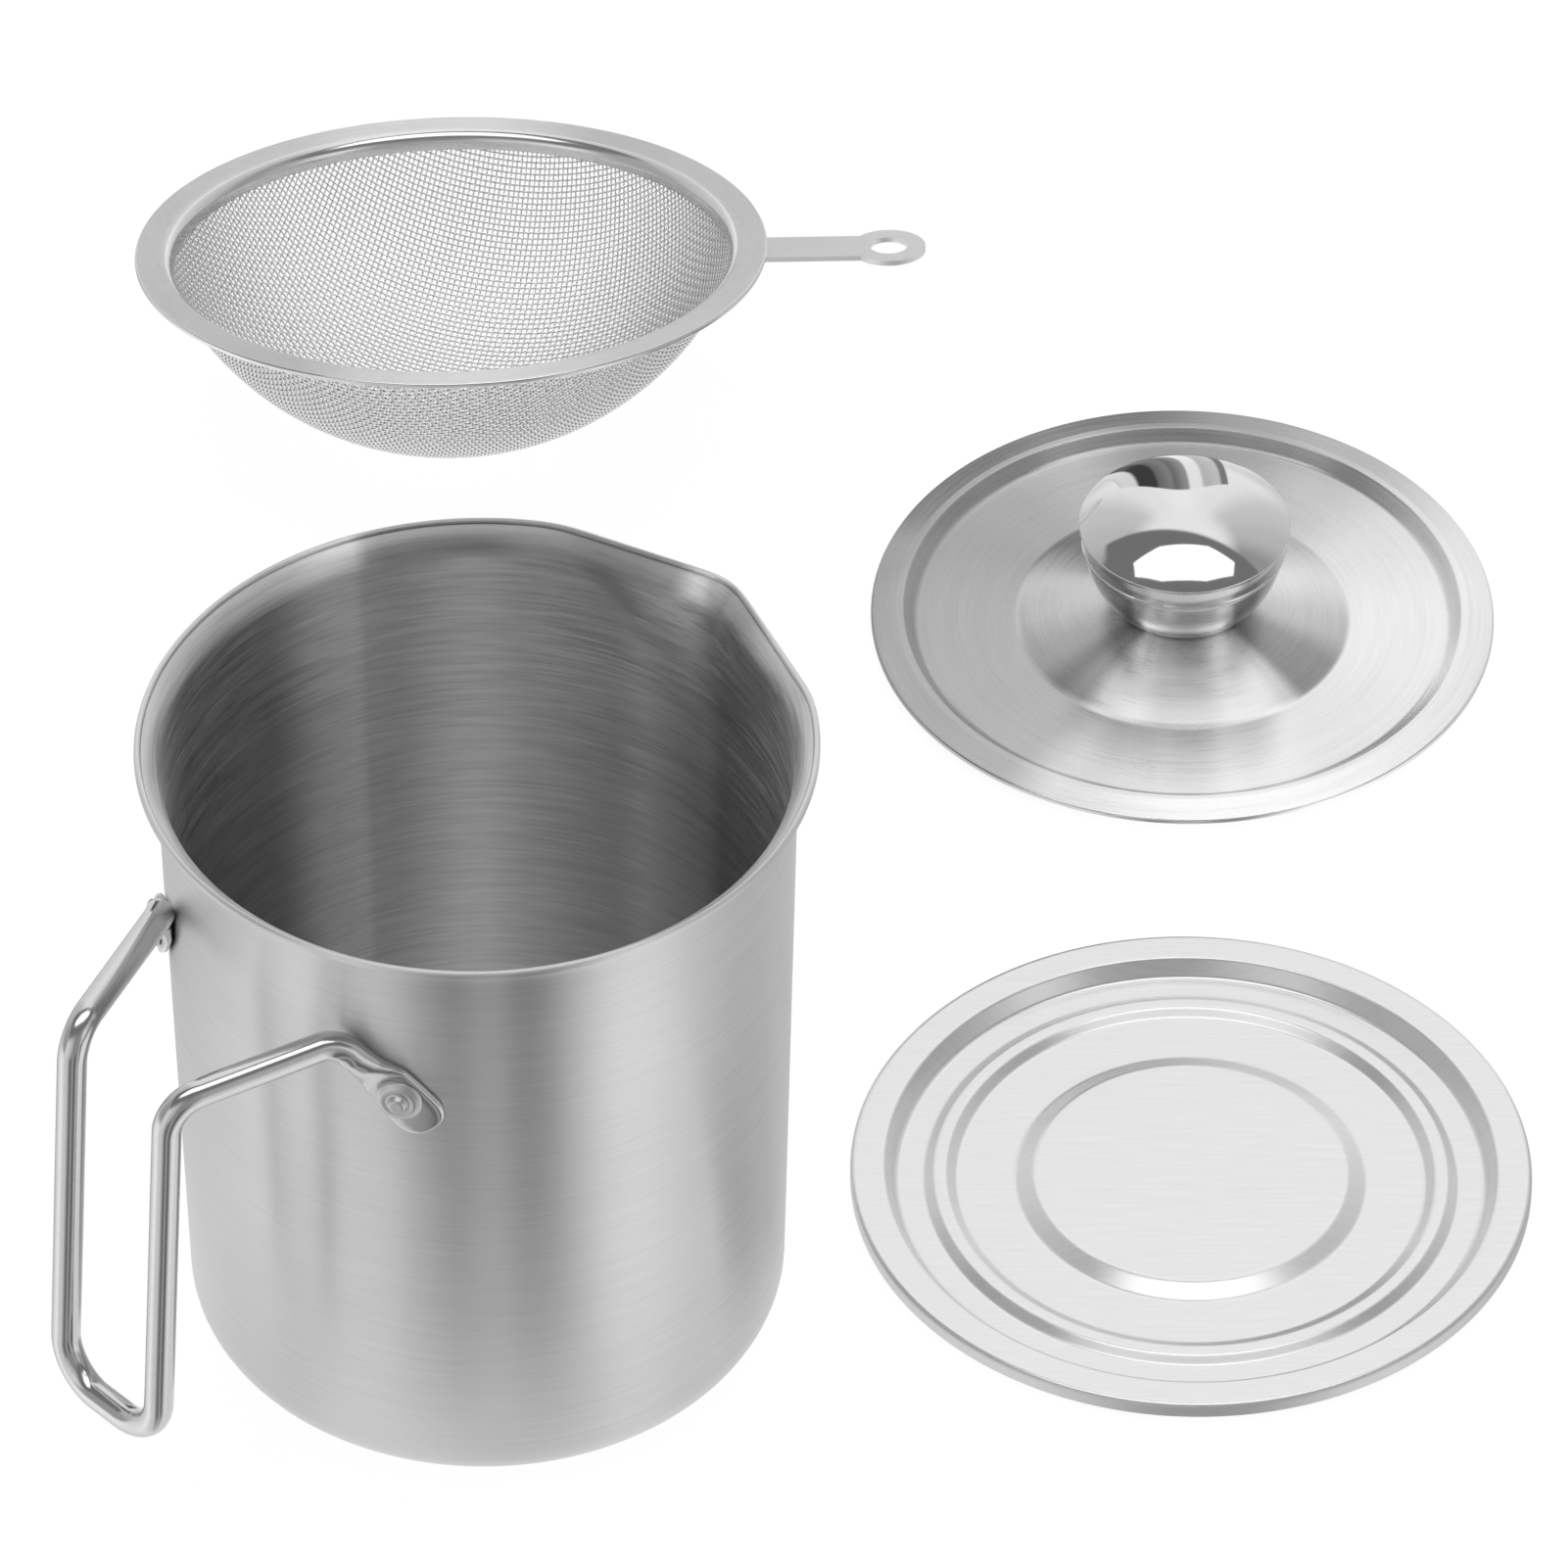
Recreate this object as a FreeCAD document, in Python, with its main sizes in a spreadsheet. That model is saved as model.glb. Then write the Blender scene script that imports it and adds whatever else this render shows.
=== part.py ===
import FreeCAD, Part
import math
import os

import Sketcher
from FreeCAD import Vector

# Bacon grease container in stainless steel: a pot with a pour spout and a wire handle, a mesh
# strainer, a knobbed lid and a pressed tray, laid out side by side on a table.
# Millimetres and degrees. +Z is up, the origin is the middle of the pot's base, on the table.

DRIVING_SIZES = [
    # pot: a deep drawn cup with a slight draft
    ("pot_height", 128.0),
    ("pot_wall", 0.8),
    ("base_radius", 52.4),
    ("neck_radius", 55.0),
    ("base_corner", 9.0),
    ("flare_radius", 5.0),
    ("flare_angle", 75.0),
    ("rim_hem", 1.2),
    ("spout_drop", 38.0),
    ("spout_reach", 1.7),
    ("spout_half_width", 31.0),
    ("spout_tip_radius", 9.0),
    ("pot_yaw", 44.0),
    # handle: one wire, symmetrical about the pot's plane opposite the spout
    ("wire_diameter", 5.2),
    ("arm_below_rim", 20.5),
    ("arm_angle", 23.0),
    ("rivet_below_arm", 11.7),
    ("rivet_swing_angle", 10.0),
    ("elbow_below_arm", 2.5),
    ("elbow_standoff", 27.9),
    ("grip_gap", 24.0),
    ("grip_length", 76.0),
    ("grip_spread", 5.5),
    ("arm_bend", 6.0),
    ("elbow_bend", 7.0),
    ("foot_bend", 9.0),
    ("tongue_width", 9.5),
    ("tongue_thickness", 2.0),
    ("tongue_overhang", 8.5),
    ("wall_gap", 0.1),
    # rivets
    ("rivet_shank", 4.0),
    ("rivet_head", 8.2),
    ("rivet_head_height", 1.3),
    ("rivet_nipple", 3.6),
    ("rivet_nipple_height", 1.0),
    ("rivet_inner_height", 0.9),
    ("rivet_clearance", 0.1),
    ("rivet_seat_gap", 0.02),
    # strainer: a folded rim that hangs in the pot's mouth
    ("flange_width", 6.0),
    ("flange_thickness", 1.1),
    ("sleeve_length", 3.8),
    ("sleeve_fold", 0.35),
    ("mouth_clearance", 0.2),
    ("mesh_thickness", 0.5),
    ("mesh_clearance", 0.05),
    ("mesh_openings", 8),
    ("mesh_bar", 3.0),
    ("mesh_band", 1.6),
    ("bowl_depth", 38.0),
    ("tab_reach", 30.0),
    ("tab_rim_clearance", 0.2),
    ("tab_width", 9.0),
    ("tab_thickness", 1.0),
    ("eye_diameter", 14.0),
    ("eye_hole", 7.2),
    ("strainer_x", -11.0),
    ("strainer_y", 245.6),
    ("strainer_lean_angle", 14.6),
    ("strainer_heading", 93.5),
    ("strainer_yaw", 0.4),
    # lid
    ("lid_flange", 6.1),
    ("lid_sheet", 0.7),
    ("lid_plug_clearance", 0.3),
    ("lid_plug_taper", 2.4),
    ("lid_step", 2.4),
    ("lid_ledge", 1.3),
    ("lid_droop", 0.9),
    ("lid_hem", 0.25),
    ("dome_radius", 31.4),
    ("dome_rise", 6.5),
    ("lid_x", 127.3),
    ("lid_y", 177.1),
    # knob: two polished shells on a screw
    ("knob_radius", 19.75),
    ("knob_seam_height", 23.3),
    ("knob_crown", 6.7),
    ("knob_shoulder", 0.8),
    ("knob_band", 4.7),
    ("knob_band_inset", 0.5),
    ("knob_lap", 2.6),
    ("knob_foot_radius", 12.5),
    ("knob_sheet", 0.5),
    ("knob_bowl_bulge", 18.9),
    ("shell_clearance", 0.1),
    ("bush_radius", 5.0),
    ("bush_length", 9.0),
    ("screw_diameter", 5.0),
    ("screw_clearance", 0.25),
    ("screw_head_radius", 4.6),
    ("screw_head_height", 2.2),
    ("screw_slot", 1.2),
    ("washer_radius", 6.0),
    ("washer_thickness", 1.0),
    # tray: the pot's base stands inside its recess
    ("tray_sheet", 0.6),
    ("tray_base_clearance", 0.4),
    ("tray_wall_run", 2.0),
    ("tray_depth", 3.3),
    ("tray_flange", 6.2),
    ("tray_edge_radius", 1.0),
    ("tray_skirt", 2.8),
    ("channel_width", 5.0),
    ("bead_half_width", 2.9),
    ("bead_half_top", 1.1),
    ("bead_height", 1.3),
    ("annulus_width", 10.6),
    ("centre_run", 3.3),
    ("centre_rise", 1.7),
    ("tray_x", 125.3),
    ("tray_y", 24.8),
]


class Size:
    """A number that keeps the spreadsheet expression it comes from."""

    def __init__(self, text, value):
        self.text = text
        self.value = value

    def joined(self, sign, other, value):
        return Size(f"({self.text} {sign} {other.text})", value)

    def __add__(self, other):
        other = sized(other)
        return self.joined("+", other, self.value + other.value)

    def __sub__(self, other):
        other = sized(other)
        return self.joined("-", other, self.value - other.value)

    def __mul__(self, other):
        other = sized(other)
        return self.joined("*", other, self.value * other.value)

    def __truediv__(self, other):
        other = sized(other)
        return self.joined("/", other, self.value / other.value)

    def __radd__(self, other):
        return sized(other) + self

    def __rsub__(self, other):
        return sized(other) - self

    def __rmul__(self, other):
        return sized(other) * self

    def __neg__(self):
        return sized(0) - self


def sized(number):
    """The number as a Size."""
    return number if isinstance(number, Size) else Size(repr(float(number)), float(number))


def root(size):
    return Size(f"sqrt({size.text})", math.sqrt(size.value))


def sine(size):
    return Size(f"sin({size.text})", math.sin(math.radians(size.value)))


def cosine(size):
    return Size(f"cos({size.text})", math.cos(math.radians(size.value)))


def fill_sheet(doc):
    """The spreadsheet of driving sizes, and the same sizes by name for the code below."""
    sheet = doc.addObject("Spreadsheet::Sheet", "Sizes")
    sizes = {}
    for row, (name, value) in enumerate(DRIVING_SIZES, start=1):
        sheet.set(f"A{row}", name)
        sheet.set(f"B{row}", repr(value))
        sheet.setAlias(f"B{row}", name)
        sizes[name] = Size(f"Sizes.{name}", value)
    doc.recompute()
    return sizes


def origin_plane(body, role):
    return next(feature for feature in body.Origin.OriginFeatures if feature.Role == role)


def new_sketch(body, name, role):
    sketch = body.newObject("Sketcher::SketchObject", name)
    sketch.AttachmentSupport = [(origin_plane(body, role), "")]
    sketch.MapMode = "FlatFace"
    return sketch


def bind(sketch, constraint, size):
    """Adds a dimension to the sketch and ties it to the spreadsheet."""
    index = sketch.addConstraint(Sketcher.Constraint(*constraint, size.value))
    sketch.setExpression(f"Constraints[{index}]", size.text)


def pin_point(sketch, geometry, end, across, up):
    """Holds a point of the sketch at (across, up) from its origin."""
    if across.value == 0:
        sketch.addConstraint(Sketcher.Constraint("PointOnObject", geometry, end, -2))
    else:
        bind(sketch, ("DistanceX", -1, 1, geometry, end), across)
    if up.value == 0:
        sketch.addConstraint(Sketcher.Constraint("PointOnObject", geometry, end, -1))
    else:
        bind(sketch, ("DistanceY", -1, 1, geometry, end), up)


def arc_between(start, end, radius):
    """The arc from start to end; a positive radius turns left, a negative one right.

    Returns the arc and whether it runs from start to end counterclockwise.
    """
    chord = end - start
    half = chord.Length / 2
    rise = math.sqrt(max(radius * radius - half * half, 0.0))
    left = Vector(-chord.y, chord.x, 0).normalize()
    turns_left = radius > 0
    centre = start + chord / 2 + left * (rise if turns_left else -rise)
    first, last = (start, end) if turns_left else (end, start)
    angles = [math.atan2(point.y - centre.y, point.x - centre.x) for point in (first, last)]
    circle = Part.Circle(centre, Vector(0, 0, 1), abs(radius))
    return Part.ArcOfCircle(circle, angles[0], angles[1]), turns_left


def closed_outline(sketch, corners, rounds):
    """A closed outline through the corners; rounds gives the radius of the edges that are arcs."""
    count = len(corners)
    points = [Vector(across.value, up.value, 0) for across, up in corners]
    ends = []
    for index in range(count):
        start, end = points[index], points[(index + 1) % count]
        if index in rounds:
            arc, forward = arc_between(start, end, rounds[index].value)
            sketch.addGeometry(arc)
            ends.append((1, 2) if forward else (2, 1))
        else:
            sketch.addGeometry(Part.LineSegment(start, end))
            ends.append((1, 2))
    for index in range(count):
        after = (index + 1) % count
        join = Sketcher.Constraint("Coincident", index, ends[index][1], after, ends[after][0])
        sketch.addConstraint(join)
    for index, (across, up) in enumerate(corners):
        pin_point(sketch, index, ends[index][0], across, up)
    for index, radius in rounds.items():
        bind(sketch, ("Radius", index), radius if radius.value > 0 else -radius)


def turn(body, name, corners, rounds=None):
    """Revolves a (radius, height) outline about Z."""
    sketch = new_sketch(body, f"{name}_outline", "XZ_Plane")
    pairs = [(sized(across), sized(up)) for across, up in corners]
    closed_outline(sketch, pairs, rounds or {})
    feature = body.newObject("PartDesign::Revolution", name)
    feature.Profile = sketch
    feature.ReferenceAxis = (sketch, ["V_Axis"])
    feature.Angle = 360
    return feature


def new_body(doc, name):
    body = doc.addObject("PartDesign::Body", name)
    body.Label = name
    return body


def half_lean(run, rise):
    """How far an offset corner shifts, per unit of sheet, where a flat meets this slope."""
    return (root(run * run + rise * rise) - run) / rise


def cap_radius(half_width, rise):
    """Radius of the sphere whose cap has this half width and rise."""
    return (half_width * half_width + rise * rise) / (2 * rise)


# ---- pot ----


def wall_radius(s, height):
    """Outside radius of the drafted wall at a height."""
    return s["base_radius"] + (s["neck_radius"] - s["base_radius"]) * height / neck_height(s)


def neck_height(s):
    """Height at which the straight wall ends and the rim starts to flare."""
    return s["pot_height"] - s["rim_hem"] - s["flare_radius"] * sine(s["flare_angle"])


def rim_radius(s):
    """Outside radius of the flared rim."""
    return s["neck_radius"] + s["flare_radius"] * (1 - cosine(s["flare_angle"]))


def level_sketch(body, name, height):
    sketch = new_sketch(body, name, "XY_Plane")
    sketch.setExpression("AttachmentOffset.Base.z", height.text)
    return sketch


def faded_section(body, name, height, radius, s):
    """The level circle where the spout has faded out, in four arcs that match its four edges."""
    half_width = s["spout_half_width"] * 0.08
    half_tip = half_width / 2
    sketch = level_sketch(body, name, height)
    wide = math.asin(half_width.value / radius.value)
    narrow = math.asin(half_tip.value / radius.value)
    circle = Part.Circle(Vector(0, 0, 0), Vector(0, 0, 1), radius.value)
    spans = [(wide, 2 * math.pi - wide), (-wide, -narrow), (-narrow, narrow), (narrow, wide)]
    for start, end in spans:
        sketch.addGeometry(Part.ArcOfCircle(circle, start, end))
    for index in range(3):
        sketch.addConstraint(Sketcher.Constraint("Coincident", index, 3, -1, 1))
        sketch.addConstraint(Sketcher.Constraint("Coincident", index, 2, index + 1, 1))
    sketch.addConstraint(Sketcher.Constraint("Coincident", 3, 2, 0, 1))
    sketch.addConstraint(Sketcher.Constraint("PointOnObject", 3, 3, -1))
    bind(sketch, ("Radius", 0), radius)
    bind(sketch, ("DistanceY", -1, 1, 0, 1), half_width)
    bind(sketch, ("DistanceY", 0, 2, -1, 1), half_width)
    bind(sketch, ("DistanceY", -1, 1, 2, 2), half_tip)
    bind(sketch, ("DistanceY", 2, 1, -1, 1), half_tip)
    return sketch


def spout_section(body, name, height, radius, share, s, inset):
    """One level outline of the drawn spout: round wall, two flat flanks and a round tip.

    share runs from 0, where the spout fades into the wall, to 1 at the rim.
    """
    half_width = s["spout_half_width"] * (0.08 + 0.92 * share) - inset * 0.5
    tip_radius = s["spout_tip_radius"] * (0.3 + 0.7 * share) - inset
    tip_centre = radius + s["spout_reach"] * share - tip_radius
    sketch = level_sketch(body, name, height)

    wall_half_angle = math.asin(half_width.value / radius.value)
    wall_end = Vector(radius.value * math.cos(wall_half_angle), half_width.value, 0)
    reach = Vector(wall_end.x - tip_centre.value, wall_end.y, 0)
    touch_angle = math.atan2(reach.y, reach.x) - math.acos(tip_radius.value / reach.Length)
    touch = Vector(tip_centre.value + tip_radius.value * math.cos(touch_angle),
                   tip_radius.value * math.sin(touch_angle), 0)
    mirrored_end = Vector(wall_end.x, -wall_end.y, 0)
    mirrored_touch = Vector(touch.x, -touch.y, 0)
    level = Vector(0, 0, 1)
    wall_circle = Part.Circle(Vector(0, 0, 0), level, radius.value)
    tip_circle = Part.Circle(Vector(tip_centre.value, 0, 0), level, tip_radius.value)
    sketch.addGeometry(Part.ArcOfCircle(wall_circle, wall_half_angle, 2 * math.pi - wall_half_angle))
    sketch.addGeometry(Part.LineSegment(mirrored_end, mirrored_touch))
    sketch.addGeometry(Part.ArcOfCircle(tip_circle, -touch_angle, touch_angle))
    sketch.addGeometry(Part.LineSegment(touch, wall_end))

    for constraint in (("Coincident", 0, 3, -1, 1), ("Coincident", 0, 2, 1, 1),
                       ("Tangent", 1, 2, 2, 1), ("Tangent", 2, 2, 3, 1),
                       ("Coincident", 3, 2, 0, 1), ("PointOnObject", 2, 3, -1)):
        sketch.addConstraint(Sketcher.Constraint(*constraint))
    bind(sketch, ("Radius", 0), radius)
    bind(sketch, ("Radius", 2), tip_radius)
    bind(sketch, ("DistanceX", -1, 1, 2, 3), tip_centre)
    bind(sketch, ("DistanceY", -1, 1, 0, 1), half_width)
    bind(sketch, ("DistanceY", 0, 2, -1, 1), half_width)
    return sketch


def loft(body, kind, name, sections):
    feature = body.newObject(kind, name)
    feature.Profile = sections[0]
    feature.Sections = sections[1:]
    feature.Ruled = True
    return feature


def spout_levels(s):
    """(height, outside radius, inside height, inside radius, share) above the fade, to the rim."""
    fade = s["pot_height"] - s["spout_drop"]
    neck = neck_height(s)
    levels = []
    draw_steps = 5
    for step in range(1, draw_steps):
        rise = step / draw_steps
        height = fade + (neck - fade) * rise
        radius = wall_radius(s, height)
        levels.append((height, radius, height, radius - s["pot_wall"], 0.8 * rise ** 1.7))
    flare_steps = 5
    for step in range(flare_steps + 1):
        angle = s["flare_angle"] * (step / flare_steps)
        height = neck + s["flare_radius"] * sine(angle)
        radius = s["neck_radius"] + s["flare_radius"] * (1 - cosine(angle))
        inner_height = height + s["pot_wall"] * sine(angle)
        inner_radius = radius - s["pot_wall"] * cosine(angle)
        levels.append((height, radius, inner_height, inner_radius, 0.8 + 0.2 * step / flare_steps))
    return levels


def pot_body(doc, s):
    """The drawn cup: a turned lower wall, then lofted outlines up to the flared rim and spout."""
    body = new_body(doc, "pot_shell")
    wall = s["pot_wall"]
    corner = s["base_corner"]
    flat = s["base_radius"] - corner
    fade = s["pot_height"] - s["spout_drop"]
    low_radius = wall_radius(s, corner)
    high_radius = wall_radius(s, fade)
    turn(body, "drawn_wall",
         [(0, 0), (flat, 0), (low_radius, corner), (high_radius, fade), (high_radius - wall, fade),
          (low_radius - wall, corner), (flat, wall), (0, wall)],
         {1: corner, 5: wall - corner})
    levels = spout_levels(s)
    no_inset = sized(0)
    outside = [faded_section(body, "outside_fade", fade, high_radius, s)]
    outside += [spout_section(body, f"outside_{index}", height, radius, share, s, no_inset)
                for index, (height, radius, _, _, share) in enumerate(levels)]
    lip_radius = levels[-1][1]
    outside.append(spout_section(body, "outside_lip", s["pot_height"], lip_radius, 1, s, no_inset))
    inside = [faded_section(body, "inside_fade", fade, high_radius - wall, s)]
    inside += [spout_section(body, f"inside_{index}", height, radius, share, s, wall)
               for index, (_, _, height, radius, share) in enumerate(levels)]
    inner_lip = lip_radius - s["rim_hem"] * 0.5
    inside.append(spout_section(body, "inside_lip", s["pot_height"], inner_lip, 1, s, wall))
    loft(body, "PartDesign::AdditiveLoft", "drawn_rim", outside)
    body.Tip = loft(body, "PartDesign::SubtractiveLoft", "mouth", inside)
    return body


def radial_bore(doc, name, s, side):
    """A cylinder on the axis of one rivet, through the wall and the tongue."""
    bore = doc.addObject("Part::Cylinder", name)
    bore.setExpression("Radius", (s["rivet_shank"] / 2 + s["rivet_clearance"]).text)
    bore.setExpression("Height", s["neck_radius"].text)
    azimuth = 180 - s["rivet_angle"] * side
    lay_down = f"rotation(vector(0; 0; 1); {azimuth.text}) * rotation(vector(0; 1; 0); 90)"
    start = s["neck_radius"] / 2
    base = (start * cosine(azimuth), start * sine(azimuth), s["rivet_height"])
    bore.setExpression("Placement", placed(base, lay_down))
    return bore


def placed(base, rotation):
    """The expression of a placement."""
    return f"placement(vector({'; '.join(size.text for size in base)}); {rotation})"


def pot_yaw(s):
    zero = sized(0)
    return placed((zero, zero, zero), f"rotation(vector(0; 0; 1); {s['pot_yaw'].text})")


def pierced_pot(doc, s):
    shell = pot_body(doc, s)
    bores = doc.addObject("Part::MultiFuse", "rivet_bores")
    bores.Shapes = [radial_bore(doc, f"pot_bore_{side}", s, sign) for side, sign in SIDES]
    pot = doc.addObject("Part::Cut", "pot_body")
    pot.Base = shell
    pot.Tool = bores
    pot.setExpression("Placement", pot_yaw(s))
    return pot


SIDES = (("left", 1), ("right", -1))


# ---- handle ----


def with_handle_places(s):
    """The sizes with the handle's heights and reaches, which follow the rim and the wall."""
    arm_height = s["pot_height"] - s["arm_below_rim"]
    elbow_height = arm_height - s["elbow_below_arm"]
    elbow_reach = s["neck_radius"] + s["elbow_standoff"]
    return s | {
        "arm_height": arm_height,
        "rivet_height": arm_height - s["rivet_below_arm"],
        "rivet_angle": s["arm_angle"] + s["rivet_swing_angle"],
        "elbow_height": elbow_height,
        "elbow_reach": elbow_reach,
        "foot_height": elbow_height - s["grip_length"],
        "foot_reach": elbow_reach + s["grip_spread"],
    }


def around(radius, angle, height):
    """A point beside the pot, at an angle from the handle's middle plane."""
    turned = math.radians(angle)
    return Vector(-radius * math.cos(turned), radius * math.sin(turned), height)


def bent_wire(points, radii):
    """A path of straight runs joined by tangent arcs."""
    edges = []
    last = points[0]
    for before, corner, after, radius in zip(points, points[1:], points[2:], radii):
        inward = (corner - before).normalize()
        outward = (after - corner).normalize()
        bend = inward.getAngle(outward)
        setback = radius * math.tan(bend / 2)
        start = corner - inward * setback
        end = corner + outward * setback
        to_middle = (outward - inward).normalize()
        middle = corner + to_middle * (radius / math.cos(bend / 2) - radius)
        edges.append(Part.LineSegment(last, start).toShape())
        edges.append(Part.Arc(start, middle, end).toShape())
        last = end
    edges.append(Part.LineSegment(last, points[-1]).toShape())
    return Part.Wire(edges)


def flattened_section(centre, across, outward, half_width, half_thickness, squareness):
    """A closed superellipse: round wire at squareness 2, a pressed strip above it."""
    count = 20
    points = []
    for index in range(count):
        angle = 2 * math.pi * (index + 0.5) / count
        share_across = math.copysign(abs(math.cos(angle)) ** (2 / squareness), math.cos(angle))
        share_out = math.copysign(abs(math.sin(angle)) ** (2 / squareness), math.sin(angle))
        points.append(centre + across * (half_width * share_across)
                      + outward * (half_thickness * share_out))
    curve = Part.BSplineCurve()
    curve.interpolate(points, PeriodicFlag=True)
    return Part.Wire([curve.toShape()])


def run_along_wall(v, wall_at):
    """Unit run of the tongue over the wall, as (level, up), and its length from arm to rivet."""
    arm_run = wall_at(v["arm_height"]) * math.radians(v["arm_angle"])
    rivet_run = wall_at(v["rivet_height"]) * math.radians(v["rivet_angle"])
    run = Vector(rivet_run - arm_run, v["rivet_height"] - v["arm_height"], 0)
    length = run.Length
    return run / length, length


def wall_frame(angle, run):
    """Outward direction on the wall and the direction of the tongue's run there."""
    outward = around(1, angle, 0)
    level = Vector(-outward.y, outward.x, 0) * -1
    return outward, level * run.x + Vector(0, 0, 1) * run.y


def tongue(v, wall_at, start):
    """The flattened end of the wire: it hugs the wall from the arm's bend, past the rivet."""
    wire_radius = v["wire_diameter"] / 2
    thin = v["tongue_thickness"] / 2
    wide = v["tongue_width"] / 2
    run, to_rivet = run_along_wall(v, wall_at)
    tip = to_rivet + v["tongue_overhang"]
    change = to_rivet - wide * 0.8 - start
    # distance along the tongue, half width, half thickness, squareness of the section
    stations = [
        (start - 1.2, wire_radius * 0.85, wire_radius * 0.85, 2.0),
        (start, wire_radius * 0.97, wire_radius * 0.97, 2.0),
        (start + 0.40 * change, wire_radius * 1.15, wire_radius * 0.80, 2.2),
        (start + 0.75 * change, wire_radius * 1.50, wire_radius * 0.52, 2.8),
        (start + change, wide * 0.95, thin, 3.6),
        (to_rivet, wide, thin, 4.5),
        (tip - wide * 0.60, wide, thin, 4.5),
        (tip - wide * 0.20, wide * 0.88, thin, 4.5),
        (tip, wide * 0.62, thin * 0.9, 4.5),
    ]
    sections = []
    for distance, half_width, half_thickness, squareness in stations:
        height = v["arm_height"] + run.y * distance
        wall = wall_at(height)
        angle = v["arm_angle"] + math.degrees(run.x * distance / wall)
        outward, along = wall_frame(angle, run)
        centre = around(wall + v["wall_gap"] + half_thickness, angle, height)
        across = along.cross(outward)
        sections.append(flattened_section(centre, across, outward, half_width, half_thickness,
                                          squareness))
    return Part.makeLoft(sections, True, False)


def handle_wire(doc, s):
    """One wire: foot, two grips, two elbows, two arms to the wall, and a flattened end on each."""
    v = {name: size.value for name, size in s.items()}

    def wall_at(height):
        return wall_radius(s, sized(height)).value

    wire_radius = v["wire_diameter"] / 2
    arm_root = around(wall_at(v["arm_height"]) + v["wall_gap"] + wire_radius, v["arm_angle"],
                      v["arm_height"])
    half_gap = v["grip_gap"] / 2
    elbow = Vector(-v["elbow_reach"], half_gap, v["elbow_height"])
    foot = Vector(-v["foot_reach"], half_gap, v["foot_height"])
    run, _ = run_along_wall(v, wall_at)
    _, along = wall_frame(v["arm_angle"], run)
    arm_turn = (elbow - arm_root).getAngle(-along)
    start = v["arm_bend"] * math.tan(arm_turn / 2)
    half = [arm_root + along * (start + 0.5), arm_root, elbow, foot]
    points = half + [Vector(point.x, -point.y, point.z) for point in reversed(half)]
    bends = [v["arm_bend"], v["elbow_bend"], v["foot_bend"]]
    path = bent_wire(points, bends + bends[::-1])
    circle = Part.Circle(points[0], points[1] - points[0], wire_radius)
    wire = path.makePipeShell([Part.Wire([circle.toShape()])], True, False)
    left = tongue(v, wall_at, start)
    right = left.mirror(Vector(0, 0, 0), Vector(0, 1, 0))
    shape = wire.fuse([left, right])
    bore_radius = v["rivet_shank"] / 2 + v["rivet_clearance"]
    for _, sign in SIDES:
        axis = around(1, v["rivet_angle"] * sign, 0)
        base = axis * (v["neck_radius"] / 2) + Vector(0, 0, v["rivet_height"])
        shape = shape.cut(Part.makeCylinder(bore_radius, v["neck_radius"], base, axis))
    handle = doc.addObject("Part::Feature", "handle_wire")
    handle.Shape = shape
    handle.setExpression("Placement", pot_yaw(s))
    return handle


def handle_rivets(doc, s):
    """Two rivets: a head inside the pot, a shank, and a disc head with a nipple outside.

    The flat inner head touches the hollow wall at its two sides.
    """
    shank = s["rivet_shank"] / 2
    head = s["rivet_head"] / 2
    head_face = (wall_radius(s, s["rivet_height"]) + s["wall_gap"] + s["tongue_thickness"]
                 + s["rivet_seat_gap"])
    hollow = wall_radius(s, s["rivet_height"]) - s["pot_wall"]
    inner_face = root(hollow * hollow - head * head)
    nipple = s["rivet_nipple"] / 2
    edge = s["rivet_head_height"] * 0.45
    inner_edge = s["rivet_inner_height"] * 0.35
    body = new_body(doc, "rivet")
    crown = head_face + s["rivet_head_height"]
    inner_crown = inner_face - s["rivet_inner_height"]
    body.Tip = turn(body, "rivet_turned",
                    [(0, inner_crown), (head * 0.6, inner_crown), (head, inner_face - inner_edge),
                     (head, inner_face), (shank, inner_face), (shank, head_face),
                     (head, head_face), (head, head_face + edge), (head * 0.7, crown),
                     (nipple, crown), (nipple * 0.7, crown + s["rivet_nipple_height"]),
                     (0, crown + s["rivet_nipple_height"])])
    azimuth = 180 - s["rivet_angle"]
    zero = sized(0)
    lay_down = f"rotation(vector(0; 0; 1); {azimuth.text}) * rotation(vector(0; 1; 0); 90)"
    body.setExpression("Placement", placed((zero, zero, s["rivet_height"]), lay_down))
    mirrored = doc.addObject("Part::Mirroring", "rivet_mirrored")
    mirrored.Source = body
    mirrored.Normal = Vector(0, 1, 0)
    pair = doc.addObject("Part::Compound", "handle_rivets")
    pair.Links = [body, mirrored]
    pair.setExpression("Placement", pot_yaw(s))
    return pair


# ---- strainer ----


def sleeve_outside(s):
    """The sleeve hangs inside the pot's neck."""
    return s["neck_radius"] - s["pot_wall"] - s["mouth_clearance"]


def flange_radius(s):
    return sleeve_outside(s) + s["flange_width"]


def sleeve_inside(s):
    """The sleeve is two folds with the edge of the mesh between them."""
    slot = s["mesh_thickness"] + 2 * s["mesh_clearance"]
    return sleeve_outside(s) - 2 * s["sleeve_fold"] - slot


def strainer_place(s):
    """The round bowl lolls on the table: it rolls about its centre, away from the viewer."""
    ball = bowl_ball(s)
    heading = s["strainer_heading"]
    axis = f"vector({(-sine(heading)).text}; {cosine(heading).text}; 0)"
    loll = f"rotation({axis}; {s['strainer_lean_angle'].text})"
    rotation = f"{loll} * rotation(vector(0; 0; 1); {s['strainer_yaw'].text})"
    sideways = ball * sine(s["strainer_lean_angle"])
    base = (s["strainer_x"] - sideways * cosine(heading),
            s["strainer_y"] - sideways * sine(heading),
            ball * (1 - cosine(s["strainer_lean_angle"])))
    return placed(base, rotation)


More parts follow.
